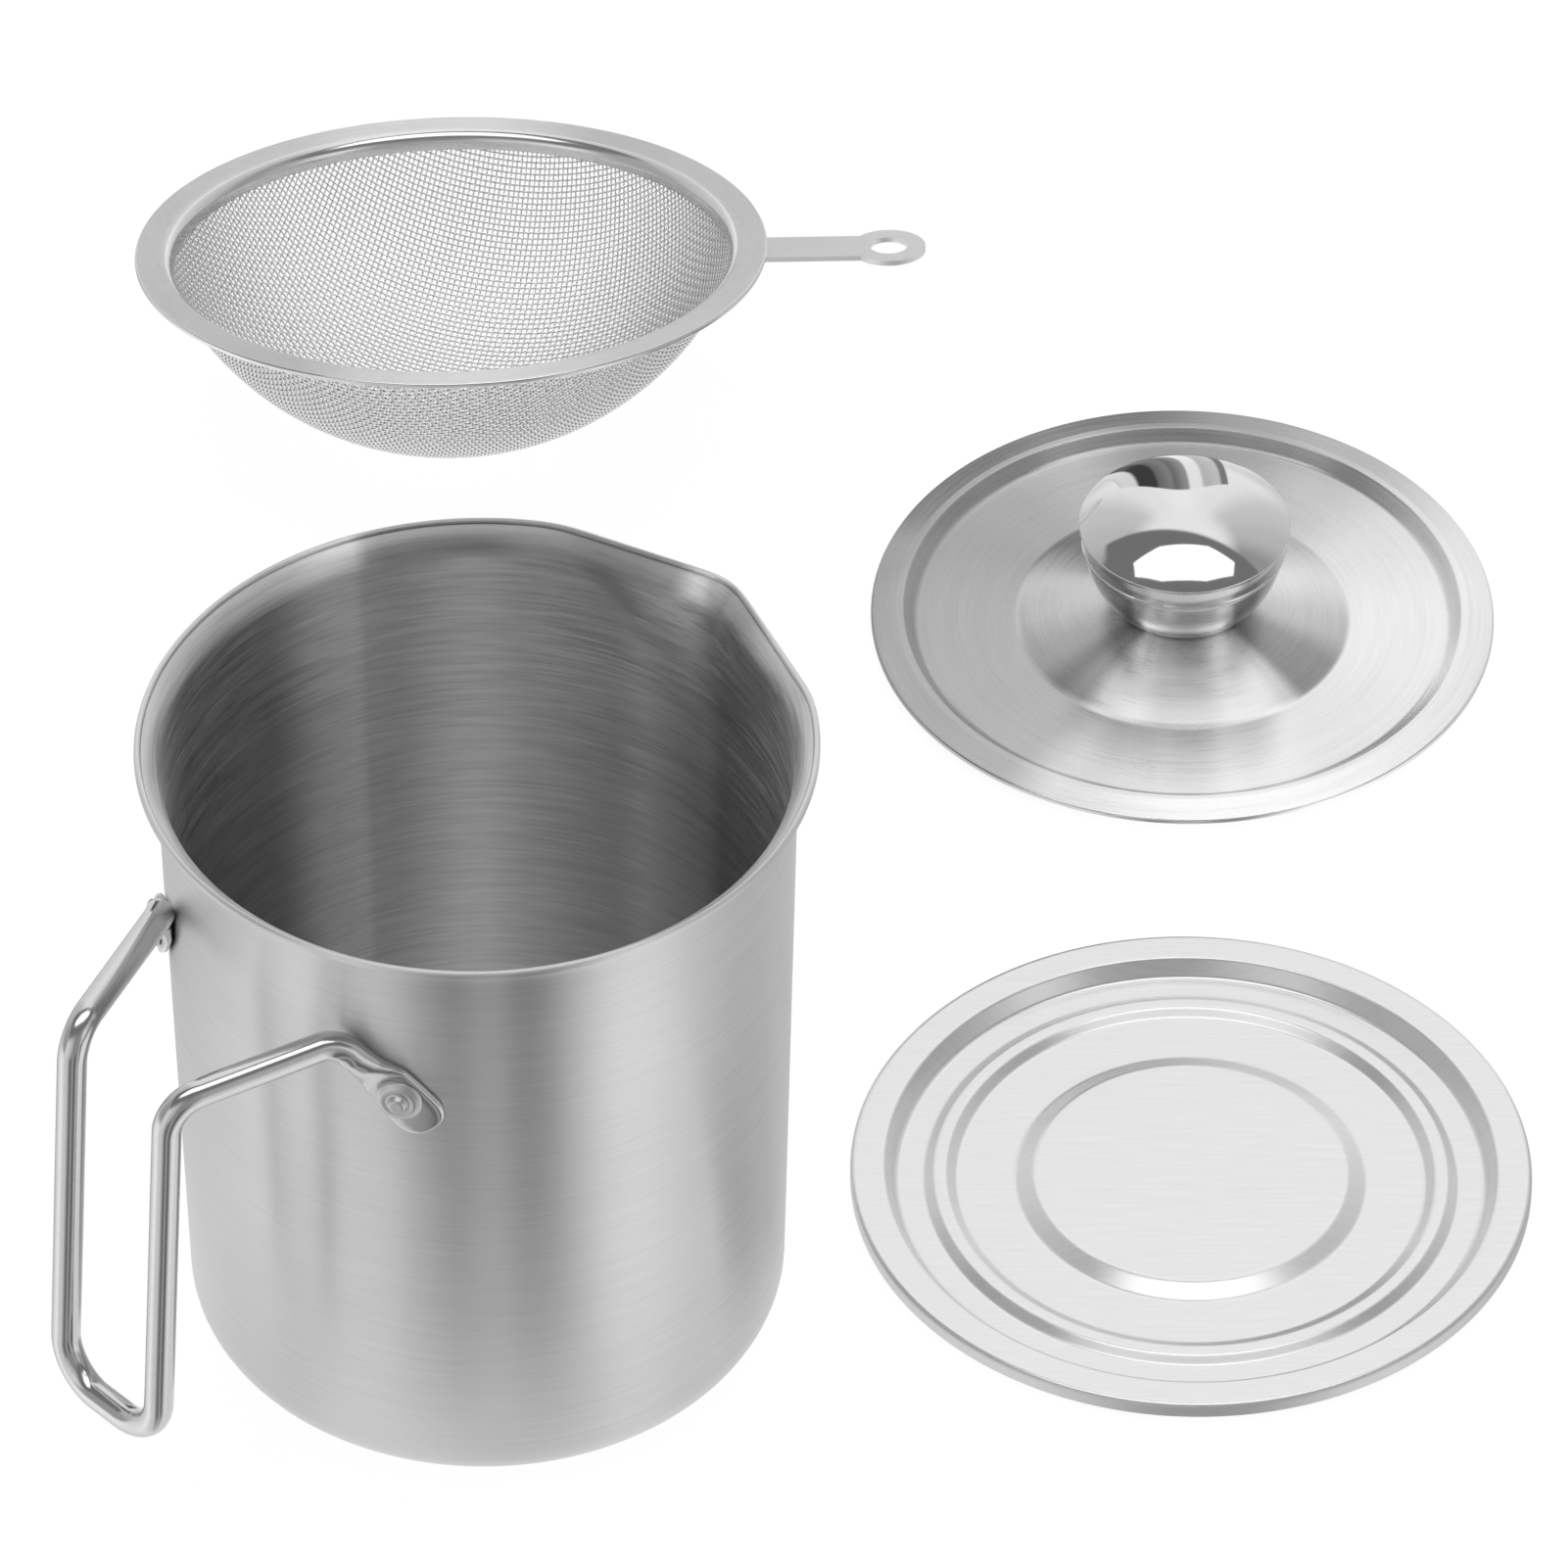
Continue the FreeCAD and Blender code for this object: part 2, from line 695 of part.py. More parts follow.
def bowl_ball(s):
    """Outside radius of the ball that the bowl is a cap of."""
    edge = sleeve_outside(s) - s["sleeve_fold"] - s["mesh_clearance"]
    return cap_radius(edge, s["bowl_depth"] - s["sleeve_length"])


def strainer_rim(doc, s):
    top = s["bowl_depth"]
    under = top - s["flange_thickness"]
    bottom = top - s["sleeve_length"]
    outside = sleeve_outside(s)
    inside = sleeve_inside(s)
    fold = s["sleeve_fold"]
    body = new_body(doc, "strainer_rim")
    turn(body, "folded_ring",
         [(inside, top), (inside, bottom), (inside + fold, bottom), (inside + fold, under),
          (outside - fold, under), (outside - fold, bottom), (outside, bottom), (outside, under),
          (flange_radius(s), under), (flange_radius(s), top)])
    body.setExpression("Placement", strainer_place(s))
    return body


def strainer_mesh(doc, s):
    """The woven bowl, drawn as a plain grid of openings under a closed edge band.

    An even number of openings puts a bar under the bowl's middle, where it stands.
    """
    thickness = s["mesh_thickness"]
    ball = bowl_ball(s)
    inner = ball - thickness
    edge = sleeve_outside(s) - s["sleeve_fold"] - s["mesh_clearance"]
    inner_edge = edge - thickness
    shoulder = s["bowl_depth"] - s["sleeve_length"]
    inner_shoulder = ball - root(inner * inner - inner_edge * inner_edge)
    top = s["bowl_depth"] - s["flange_thickness"] - s["mesh_clearance"]
    grid_top = shoulder - s["mesh_band"]
    drop = ball - grid_top
    grid_edge = root(ball * ball - drop * drop)
    inner_grid_edge = root(inner * inner - drop * drop)
    body = new_body(doc, "strainer_mesh")
    turn(body, "woven_bowl",
         [(0, 0), (grid_edge, grid_top), (inner_grid_edge, grid_top), (0, thickness)],
         {0: ball, 2: -inner})
    body.Tip = grid_of_openings(body, s, edge)
    body.Tip = turn(body, "edge_band",
                    [(grid_edge, grid_top), (edge, shoulder), (edge, top), (inner_edge, top),
                     (inner_edge, inner_shoulder), (inner_grid_edge, grid_top)],
                    {0: ball, 4: -inner})
    body.setExpression("Placement", strainer_place(s))
    return body


def grid_of_openings(body, s, edge):
    """One square opening in the corner of the grid, repeated along both bars."""
    pitch = edge * 2 / s["mesh_openings"]
    first = s["mesh_bar"] / 2 - edge
    last = first + pitch - s["mesh_bar"]
    square = new_sketch(body, "opening_outline", "XY_Plane")
    closed_outline(square, [(first, first), (last, first), (last, last), (first, last)], {})
    opening = body.newObject("PartDesign::Pocket", "opening")
    opening.Profile = square
    opening.Reversed = True
    opening.Type = "ThroughAll"
    grid = body.newObject("PartDesign::MultiTransform", "openings")
    grid.Originals = [opening]
    patterns = []
    for role in ("X_Axis", "Y_Axis"):
        pattern = body.newObject("PartDesign::LinearPattern", f"openings_along_{role[0].lower()}")
        pattern.Direction = (origin_plane(body, role), [""])
        pattern.setExpression("Length", (pitch * (s["mesh_openings"] - 1)).text)
        pattern.setExpression("Occurrences", s["mesh_openings"].text)
        patterns.append(pattern)
    grid.Transformations = patterns
    return grid


def strainer_tab(doc, s):
    """A flat strip under the flange that widens into a hanging eye.

    It starts just outside the pot's rim, so that the flange can lie flat on the rim.
    """
    body = new_body(doc, "strainer_tab")
    start = rim_radius(s) + s["tab_rim_clearance"]
    eye_centre = flange_radius(s) + s["tab_reach"] - s["eye_diameter"] / 2
    half = s["tab_width"] / 2
    level = s["bowl_depth"] - s["flange_thickness"] - s["tab_thickness"]

    strip = new_sketch(body, "strip_outline", "XY_Plane")
    strip.setExpression("AttachmentOffset.Base.z", level.text)
    closed_outline(strip, [(start, -half), (eye_centre, -half), (eye_centre, half), (start, half)],
                   {})
    eye = new_sketch(body, "eye_outline", "XY_Plane")
    eye.setExpression("AttachmentOffset.Base.z", level.text)
    level_up = Vector(0, 0, 1)
    eye.addGeometry(Part.Circle(Vector(eye_centre.value, 0, 0), level_up,
                                s["eye_diameter"].value / 2))
    eye.addConstraint(Sketcher.Constraint("PointOnObject", 0, 3, -1))
    bind(eye, ("DistanceX", -1, 1, 0, 3), eye_centre)
    bind(eye, ("Radius", 0), s["eye_diameter"] / 2)
    hole = new_sketch(body, "hole_outline", "XY_Plane")
    hole.setExpression("AttachmentOffset.Base.z", level.text)
    hole.addGeometry(Part.Circle(Vector(eye_centre.value, 0, 0), level_up,
                                 s["eye_hole"].value / 2))
    hole.addConstraint(Sketcher.Constraint("PointOnObject", 0, 3, -1))
    bind(hole, ("DistanceX", -1, 1, 0, 3), eye_centre)
    bind(hole, ("Radius", 0), s["eye_hole"] / 2)

    for name, sketch in (("strip", strip), ("eye", eye)):
        pad = body.newObject("PartDesign::Pad", name)
        pad.Profile = sketch
        pad.setExpression("Length", s["tab_thickness"].text)
    pocket = body.newObject("PartDesign::Pocket", "hanging_hole")
    pocket.Profile = hole
    pocket.Type = "ThroughAll"
    pocket.Midplane = True
    body.Tip = pocket
    body.setExpression("Placement", strainer_place(s))
    return body


# ---- lid and knob ----


def lid_place(s):
    """The lid lies on the flat panel of its plug."""
    no_turn = "rotation(vector(0; 0; 1); 0)"
    return placed((s["lid_x"], s["lid_y"], s["lid_sheet"]), no_turn)


def dome_top(s, radius):
    """Height of the raised centre's upper face above the panel."""
    ball = cap_radius(s["dome_radius"], s["dome_rise"])
    return s["dome_rise"] - ball + root(ball * ball - radius * radius)


def dome_under(s, radius):
    """Height of the raised centre's lower face."""
    ball = cap_radius(s["dome_radius"], s["dome_rise"])
    inner = ball - s["lid_sheet"]
    return s["dome_rise"] - ball + root(inner * inner - radius * radius)


def lid_plate(doc, s):
    sheet = s["lid_sheet"]
    step = s["lid_step"]
    dome = s["dome_radius"]
    plug_top = sleeve_inside(s) - s["lid_plug_clearance"]
    plug_bottom = plug_top - s["lid_plug_taper"]
    ledge = plug_top + s["lid_ledge"]
    edge = step - s["lid_droop"]
    hem = edge - sheet - s["lid_hem"]
    wall_lean = half_lean(s["lid_plug_taper"], step)
    hole = s["screw_diameter"] / 2 + s["screw_clearance"]
    ball = cap_radius(dome, s["dome_rise"])
    inner = ball - sheet
    crease_in = dome - sheet * half_lean(ball - s["dome_rise"], dome)
    flange = plug_top + s["lid_flange"]
    outline = [
        (hole, dome_top(s, hole)), (hole, dome_under(s, hole)), (crease_in, dome_under(s, crease_in)),
        (plug_bottom + sheet * wall_lean, -sheet), (plug_top + sheet * wall_lean, step - sheet),
        (ledge, step - sheet), (flange - sheet, edge - sheet), (flange - sheet, hem), (flange, hem),
        (flange, edge), (ledge, step), (plug_top, step), (plug_bottom, 0), (dome, 0)]
    body = new_body(doc, "lid_plate")
    turn(body, "pressed_plate", outline, {1: -inner, len(outline) - 1: ball})
    body.setExpression("Placement", lid_place(s))
    return body


def knob_cap(doc, s):
    """Crown and band: the band laps over the cup and ends in a fine ridge."""
    sheet = s["knob_sheet"]
    seam = s["knob_seam_height"]
    radius = s["knob_radius"]
    shoulder = radius - s["knob_shoulder"]
    crown = seam + s["knob_shoulder"]
    top = crown + s["knob_crown"]
    low = seam - s["knob_band"]
    band = radius - s["knob_band_inset"]
    ball = cap_radius(shoulder, s["knob_crown"])
    inner_shoulder = shoulder - sheet * 0.5
    inner_ball = cap_radius(inner_shoulder, s["knob_crown"])
    body = new_body(doc, "knob_cap")
    outline = [
        (0, top), (0, top - sheet), (inner_shoulder, crown - sheet), (radius - sheet, seam - sheet),
        (band - sheet, low), (band, low), (radius, seam), (shoulder, crown)]
    turn(body, "crown_and_band", outline,
         {1: -inner_ball, len(outline) - 2: s["knob_shoulder"], len(outline) - 1: ball})
    body.setExpression("Placement", lid_place(s))
    return body


def cup_floor(s):
    """Underside of the cup's floor: just clear of the top of the raised centre."""
    return s["dome_rise"] + s["shell_clearance"]


def knob_cup(doc, s):
    """Lower bowl: its foot ring stands on the raised centre, the band grips its upper edge."""
    sheet = s["knob_sheet"]
    foot = s["knob_foot_radius"]
    foot_height = dome_top(s, foot - sheet)
    floor = cup_floor(s)
    hole = s["screw_diameter"] / 2 + s["screw_clearance"]
    low = s["knob_seam_height"] - s["knob_band"]
    neck = s["knob_radius"] - s["knob_band_inset"] - sheet
    bulge = s["knob_bowl_bulge"]
    body = new_body(doc, "knob_cup")
    turn(body, "bowl",
         [(hole, floor), (foot - sheet * 2, floor), (foot - sheet, foot_height), (foot, foot_height),
          (neck, low), (neck, low + s["knob_lap"]), (neck - sheet, low + s["knob_lap"]),
          (neck - sheet, low), (foot, floor + sheet), (hole, floor + sheet)],
         {3: bulge, 7: sheet - bulge})
    body.setExpression("Placement", lid_place(s))
    return body


def knob_nut(doc, s):
    """The threaded bush that stands on the cup's floor."""
    floor = cup_floor(s) + s["knob_sheet"]
    bore = s["screw_diameter"] / 2
    collar = s["bush_radius"] + 1
    body = new_body(doc, "knob_nut")
    turn(body, "bush",
         [(bore, floor), (collar, floor), (collar, floor + 1), (s["bush_radius"], floor + 1),
          (s["bush_radius"], floor + s["bush_length"]), (bore, floor + s["bush_length"])])
    body.setExpression("Placement", lid_place(s))
    return body


def washer_top(s):
    return dome_under(s, s["washer_radius"])


def knob_washer(doc, s):
    top = washer_top(s)
    bottom = top - s["washer_thickness"]
    hole = s["screw_diameter"] / 2 + s["screw_clearance"]
    body = new_body(doc, "knob_washer")
    turn(body, "flat_washer",
         [(hole, bottom), (s["washer_radius"], bottom), (s["washer_radius"], top), (hole, top)])
    body.setExpression("Placement", lid_place(s))
    return body


def knob_screw(doc, s):
    """A slotted pan head screw that draws the knob down on the lid."""
    seat = washer_top(s) - s["washer_thickness"]
    low = seat - s["screw_head_height"]
    shank = s["screw_diameter"] / 2 - s["shell_clearance"]
    head = s["screw_head_radius"]
    tip = cup_floor(s) + s["knob_sheet"] + s["bush_length"] - 1
    body = new_body(doc, "knob_screw")
    turn(body, "pan_head",
         [(0, low), (head * 0.75, low), (head, low + s["screw_head_height"] * 0.4), (head, seat),
          (shank, seat), (shank, tip - 1), (shank - 1, tip), (0, tip)])
    slot = new_sketch(body, "slot_outline", "XY_Plane")
    slot.setExpression("AttachmentOffset.Base.z", low.text)
    half = s["screw_slot"] / 2
    wide = head * 1.1
    closed_outline(slot, [(-wide, -half), (wide, -half), (wide, half), (-wide, half)], {})
    pocket = body.newObject("PartDesign::Pocket", "slot")
    pocket.Profile = slot
    pocket.Reversed = True
    pocket.setExpression("Length", (s["screw_head_height"] * 0.5).text)
    body.Tip = pocket
    body.setExpression("Placement", lid_place(s))
    return body


# ---- tray ----


def tray(doc, s):
    """Pressed saucer: raised centre, annulus, bead, channel, recess wall, flange and skirt."""
    sheet = s["tray_sheet"]
    low = sheet
    centre_top = low + s["centre_rise"]
    bead_top = low + s["bead_height"]
    flange = low + s["tray_depth"]
    wide = s["bead_half_width"]
    narrow = s["bead_half_top"]
    recess = s["base_radius"] + s["tray_base_clearance"]
    rise = recess + s["tray_wall_run"]
    edge = rise + s["tray_flange"]
    bead = recess - s["channel_width"] - wide
    centre_foot = bead - wide - s["annulus_width"]
    centre = centre_foot - s["centre_run"]
    roll = s["tray_edge_radius"]
    centre_shift = sheet * half_lean(s["centre_run"], s["centre_rise"])
    bead_shift = sheet * half_lean(wide - narrow, s["bead_height"])
    wall_shift = sheet * half_lean(s["tray_wall_run"], s["tray_depth"])
    hem = flange - s["tray_skirt"]
    upper = [(0, centre_top), (centre, centre_top), (centre_foot, low), (bead - wide, low),
             (bead - narrow, bead_top), (bead + narrow, bead_top), (bead + wide, low),
             (recess, low), (rise, flange), (edge - roll, flange), (edge, flange - roll),
             (edge, hem)]
    lower = [(edge - sheet, hem), (edge - sheet, flange - roll), (edge - roll, flange - sheet),
             (rise + wall_shift, flange - sheet), (recess + wall_shift, 0),
             (bead + wide - bead_shift, 0), (bead + narrow - bead_shift, s["bead_height"]),
             (bead - narrow + bead_shift, s["bead_height"]), (bead - wide + bead_shift, 0),
             (centre_foot - centre_shift, 0), (centre - centre_shift, s["centre_rise"]),
             (0, s["centre_rise"])]
    body = new_body(doc, "tray")
    outer_roll = len(upper) - 3
    inner_roll = len(upper) + 1
    turn(body, "pressed_saucer", upper + lower, {outer_roll: -roll, inner_roll: roll - sheet})
    no_turn = "rotation(vector(0; 0; 1); 0)"
    body.setExpression("Placement", placed((s["tray_x"], s["tray_y"], sized(0)), no_turn))
    return body


PIECES = {
    "pot_body": pierced_pot,
    "handle_wire": handle_wire,
    "handle_rivets": handle_rivets,
    "strainer_rim": strainer_rim,
    "strainer_mesh": strainer_mesh,
    "strainer_tab": strainer_tab,
    "lid_plate": lid_plate,
    "knob_cap": knob_cap,
    "knob_cup": knob_cup,
    "knob_nut": knob_nut,
    "knob_screw": knob_screw,
    "knob_washer": knob_washer,
    "tray": tray,
}


def check_document(doc, nodes):
    """Stops with a message if any feature failed or any piece is empty or invalid."""
    failed = [item.Name for item in doc.Objects
              if "Invalid" in item.State or "Error" in item.State]
    broken = [name for name, piece in nodes.items()
              if piece.Shape.isNull() or not piece.Shape.isValid()]
    if failed or broken:
        raise RuntimeError(f"failed features {failed}, broken pieces {broken}")


def main():
    doc = FreeCAD.newDocument("grease_container")
    sizes = with_handle_places(fill_sheet(doc))
    nodes = {name: build(doc, sizes) for name, build in PIECES.items()}
    doc.recompute()
    check_document(doc, nodes)
    os.makedirs("parts", exist_ok=True)
    for name, piece in nodes.items():
        piece.Label = name
        piece.Shape.exportStep(f"parts/{name}.step")
        box = piece.Shape.BoundBox
        print(f"{name}: {len(piece.Shape.Solids)} solid, {piece.Shape.Volume:.1f} mm3, "
              f"z {box.ZMin:.2f} to {box.ZMax:.2f}")


main()
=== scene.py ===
import math

import bmesh
import bpy
import numpy as np
from mathutils import Matrix, Vector


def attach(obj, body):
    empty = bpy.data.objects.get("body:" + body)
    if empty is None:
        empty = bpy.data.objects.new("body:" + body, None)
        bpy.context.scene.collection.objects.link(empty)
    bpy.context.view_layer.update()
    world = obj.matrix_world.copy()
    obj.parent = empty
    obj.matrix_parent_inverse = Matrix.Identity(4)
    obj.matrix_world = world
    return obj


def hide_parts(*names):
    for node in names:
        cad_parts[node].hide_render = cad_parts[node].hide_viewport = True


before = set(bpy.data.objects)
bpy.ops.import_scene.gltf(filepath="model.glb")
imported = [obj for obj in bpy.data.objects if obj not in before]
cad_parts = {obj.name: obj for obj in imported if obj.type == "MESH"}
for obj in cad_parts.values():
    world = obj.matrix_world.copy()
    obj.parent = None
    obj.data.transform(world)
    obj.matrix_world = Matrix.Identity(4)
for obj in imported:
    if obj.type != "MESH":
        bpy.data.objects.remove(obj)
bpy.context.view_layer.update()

# Bacon grease container, dressed. Shapes are worked out in millimetres and placed in metres.
MM = 0.001

# ---- sizes, as in the solids ----

POT_HEIGHT = 128.0
POT_WALL = 0.8
BASE_RADIUS = 52.4
NECK_RADIUS = 55.0
BASE_CORNER = 9.0
FLARE_RADIUS = 5.0
FLARE_TURN = math.radians(75)
RIM_HEM = 1.2
SPOUT_DROP = 38.0
SPOUT_REACH = 1.7
SPOUT_HALF_WIDTH = 31.0
SPOUT_TIP_RADIUS = 9.0
SPOUT_AT_NECK = 0.8  # share of its full shape that the spout has at the neck
# Shares of the full width and of the full tip radius where the spout begins.
SPOUT_LEAST_WIDTH, SPOUT_LEAST_TIP = 0.08, 0.3
POT_YAW = math.radians(44)

WIRE_RADIUS = 2.6
ARM_ANGLE = math.radians(23)
ARM_HEIGHT = 107.5
RIVET_ANGLE = math.radians(33)
RIVET_HEIGHT = 95.8
ELBOW = (82.9, 12.0, 105.0)
FOOT = (88.4, 12.0, 29.0)
ARM_BEND, ELBOW_BEND, FOOT_BEND = 6.0, 7.0, 9.0
TONGUE_HALF_WIDTH = 4.75
TONGUE_HALF_THICKNESS = 1.0
TONGUE_OVERHANG = 8.5
WALL_GAP = 0.1
WIRE_SIDES = 28

FLANGE_RADIUS = 60.0
FLANGE_THICKNESS = 1.1
SLEEVE_OUTSIDE = 54.0
SLEEVE_INSIDE = 52.7
SLEEVE_LENGTH = 3.8
BOWL_DEPTH = 38.0
BOWL_EDGE = 53.6
BOWL_SPHERE = 59.102
MESH_PITCH = 1.15
MESH_WIRE_RADIUS = 0.19
MESH_TUCK = 0.6  # how far the wires run into the sleeve's slot
MESH_WAVE = 0.95  # height of the weave's waves, in wire radii
MESH_CORNER = 1.12  # a three-sided wire's corners lie this far out, in wire radii
MESH_TURN = math.radians(-14)
MESH_SPHERE = BOWL_SPHERE - 2 * MESH_WIRE_RADIUS
STRAINER_SPOT = (-11.0, 245.6)
STRAINER_LEAN = math.radians(14.6)
STRAINER_HEADING = math.radians(93.5)
STRAINER_YAW = math.radians(0.4)

LID_SPOT = (127.3, 177.1)
LID_SHEET = 0.7
LID_DOME_RADIUS = 31.4
TRAY_SPOT = (125.3, 24.8)
TRAY_RADIUS = 61.0

# ---- mesh tools ----


def corner_arc(start, corner, end, turn, steps):
    """Points of the arc that rounds a corner, from one tangent point to the other."""
    weight = math.cos(turn / 2)
    points = []
    for step in range(steps + 1):
        t = step / steps
        first, second, third = (1 - t) ** 2, 2 * t * (1 - t) * weight, t * t
        total = first + second + third
        points.append((start * first + corner * second + end * third) / total)
    return points


def rounded(corners):
    """Points of a closed outline through (radius, height, fillet) corners.

    Short extra spans beside each fillet keep the shading of the flats flat.
    """
    points = []
    count = len(corners)
    for index, (r, z, fillet) in enumerate(corners):
        here = np.array((r, z))
        if fillet == 0:
            points.append(here)
            continue
        into = here - np.array(corners[index - 1][:2])
        out = np.array(corners[(index + 1) % count][:2]) - here
        length_in, length_out = np.hypot(*into), np.hypot(*out)
        into, out = into / length_in, out / length_out
        turn = math.acos(max(-1.0, min(1.0, float(into @ out))))
        reach = min(fillet * math.tan(turn / 2), 0.46 * length_in, 0.46 * length_out)
        start, end = here - into * reach, here + out * reach
        if length_in > 4 * reach:
            points.append(start - into * min(reach, 0.25))
        points += corner_arc(start, here, end, turn, max(3, int(turn / math.radians(9))))
        if length_out > 4 * reach:
            points.append(end + out * min(reach, 0.25))
    return points


def arc(centre, radius, first, last, steps):
    """Corners without fillets along an arc, angles in degrees."""
    angles = np.radians(np.linspace(first, last, steps + 1))
    return [(centre[0] + radius * math.cos(a), centre[1] + radius * math.sin(a), 0) for a in angles]


def mesh_object(name, vertices, faces, place, body, sharp_angle=40):
    """A smooth shaded mesh from millimetre points, laid at its place and riding on a body."""
    mesh = bpy.data.meshes.new(name)
    mesh.from_pydata([place @ Vector((x * MM, y * MM, z * MM)) for x, y, z in vertices], [], faces)
    shell = bmesh.new()
    shell.from_mesh(mesh)
    bmesh.ops.remove_doubles(shell, verts=shell.verts, dist=1e-7)
    bmesh.ops.recalc_face_normals(shell, faces=shell.faces)
    shell.to_mesh(mesh)
    shell.free()
    mesh.shade_smooth()
    mesh.set_sharp_from_angle(angle=math.radians(sharp_angle))
    piece = bpy.data.objects.new(name, mesh)
    bpy.context.scene.collection.objects.link(piece)
    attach(piece, body)
    return piece


def ring_faces(rings, around, closed_loop):
    """Quads between rings of `around` points each; a ring of one point closes to a fan."""
    faces = []
    starts = np.cumsum([0] + [len(ring) for ring in rings])
    pairs = list(zip(range(len(rings)), range(1, len(rings))))
    if closed_loop:
        pairs.append((len(rings) - 1, 0))
    for lower, upper in pairs:
        a, b = int(starts[lower]), int(starts[upper])
        single_a, single_b = len(rings[lower]) == 1, len(rings[upper]) == 1
        if single_a and single_b:
            continue
        for i in range(around):
            j = (i + 1) % around
            if single_a:
                faces.append((a, b + j, b + i))
            elif single_b:
                faces.append((a + i, a + j, b))
            else:
                faces.append((a + i, a + j, b + j, b + i))
    return faces


def lathe(name, outline, place, body, around, radius_of=None, sharp_angle=40):
    """Turns a closed (radius, height) outline about Z.

    radius_of(index, angles) may give each outline point its own radius round the turn.
    """
    angles = np.linspace(0, 2 * math.pi, around, endpoint=False)
    rings = []
    for index, (r, z) in enumerate(outline):
        if r < 1e-6:
            rings.append([(0, 0, z)])
            continue
        radii = radius_of(index, angles) if radius_of else np.full(around, r)
        rings.append(list(zip(radii * np.cos(angles), radii * np.sin(angles), np.full(around, z))))
    vertices = [point for ring in rings for point in ring]
    faces = ring_faces(rings, around, True)
    return mesh_object(name, vertices, faces, place, body, sharp_angle)


def at(x, y, z=0.0, turn=None):
    """A placement in the row frame from millimetres."""
    place = Matrix.Translation((x * MM, y * MM, z * MM))
    return place @ turn if turn else place


# ---- pot ----


NECK_HEIGHT = POT_HEIGHT - RIM_HEM - FLARE_RADIUS * math.sin(FLARE_TURN)


def wall_radius(height):
    """Outside radius of the drafted wall."""
    return BASE_RADIUS + (NECK_RADIUS - BASE_RADIUS) * height / NECK_HEIGHT


def spout_radius(radius, share, inset, angles):
    """Radius of one level outline of the spout, by angle from the spout's middle.

    The wall's circle, a flat flank on each side and a round tip, eased into each other.
    """
    if share <= 0:
        return np.full(len(angles), radius)
    width_share = SPOUT_LEAST_WIDTH + (1 - SPOUT_LEAST_WIDTH) * share
    tip_share = SPOUT_LEAST_TIP + (1 - SPOUT_LEAST_TIP) * share
    half_width = SPOUT_HALF_WIDTH * width_share - inset * 0.5
    tip_radius = SPOUT_TIP_RADIUS * tip_share - inset
    tip_centre = radius + SPOUT_REACH * share - tip_radius
    end_angle = math.asin(half_width / radius)
    end = np.array((radius * math.cos(end_angle), half_width))
    reach = end - np.array((tip_centre, 0))
    touch_angle = math.atan2(reach[1], reach[0]) - math.acos(tip_radius / np.hypot(*reach))
    touch = tip_radius * np.array((math.cos(touch_angle), math.sin(touch_angle)))
    touch = np.array((tip_centre, 0)) + touch
    flank = end - touch
    normal = np.array((flank[1], -flank[0])) / np.hypot(*flank)
    turned = np.abs((angles + math.pi) % (2 * math.pi) - math.pi)
    tip = tip_centre * np.cos(turned)
    tip += np.sqrt(np.maximum(tip_radius ** 2 - (tip_centre * np.sin(turned)) ** 2, 0))
    straight = (normal @ end) / (normal[0] * np.cos(turned) + normal[1] * np.sin(turned))
    drawn = np.where(turned < math.atan2(touch[1], touch[0]), tip, straight)
    drawn = np.where(turned < end_angle, drawn, radius)
    strength = min(1.0, share / 0.05)
    bulge = (drawn - radius) * strength
    spread, window = 5, 12
    weights = np.exp(-0.5 * (np.arange(-window, window + 1) / spread) ** 2)
    padded = np.concatenate((bulge[-window:], bulge, bulge[:window]))
    return radius + np.convolve(padded, weights / weights.sum(), mode="valid")


def spout_levels(inset):
    """(radius, height, share, inset) up the wall, from where the spout begins to the neck."""
    fade = POT_HEIGHT - SPOUT_DROP
    lower = 0.01 if inset else 0
    levels = []
    for rise in np.linspace(0, 1, 22):
        height = fade + (NECK_HEIGHT - fade) * rise
        share = SPOUT_AT_NECK * rise ** 1.7
        levels.append((wall_radius(height) - inset, height - lower, share, inset))
    return levels


def flare_levels(inset):
    """The same up the flare, from the neck to the lip."""
    levels = []
    for step in range(15):
        angle = FLARE_TURN * step / 14
        levels.append((NECK_RADIUS + FLARE_RADIUS * (1 - math.cos(angle)) - inset * math.cos(angle),
                       NECK_HEIGHT + FLARE_RADIUS * math.sin(angle) + inset * math.sin(angle),
                       SPOUT_AT_NECK + (1 - SPOUT_AT_NECK) * (step / 14), inset))
    return levels


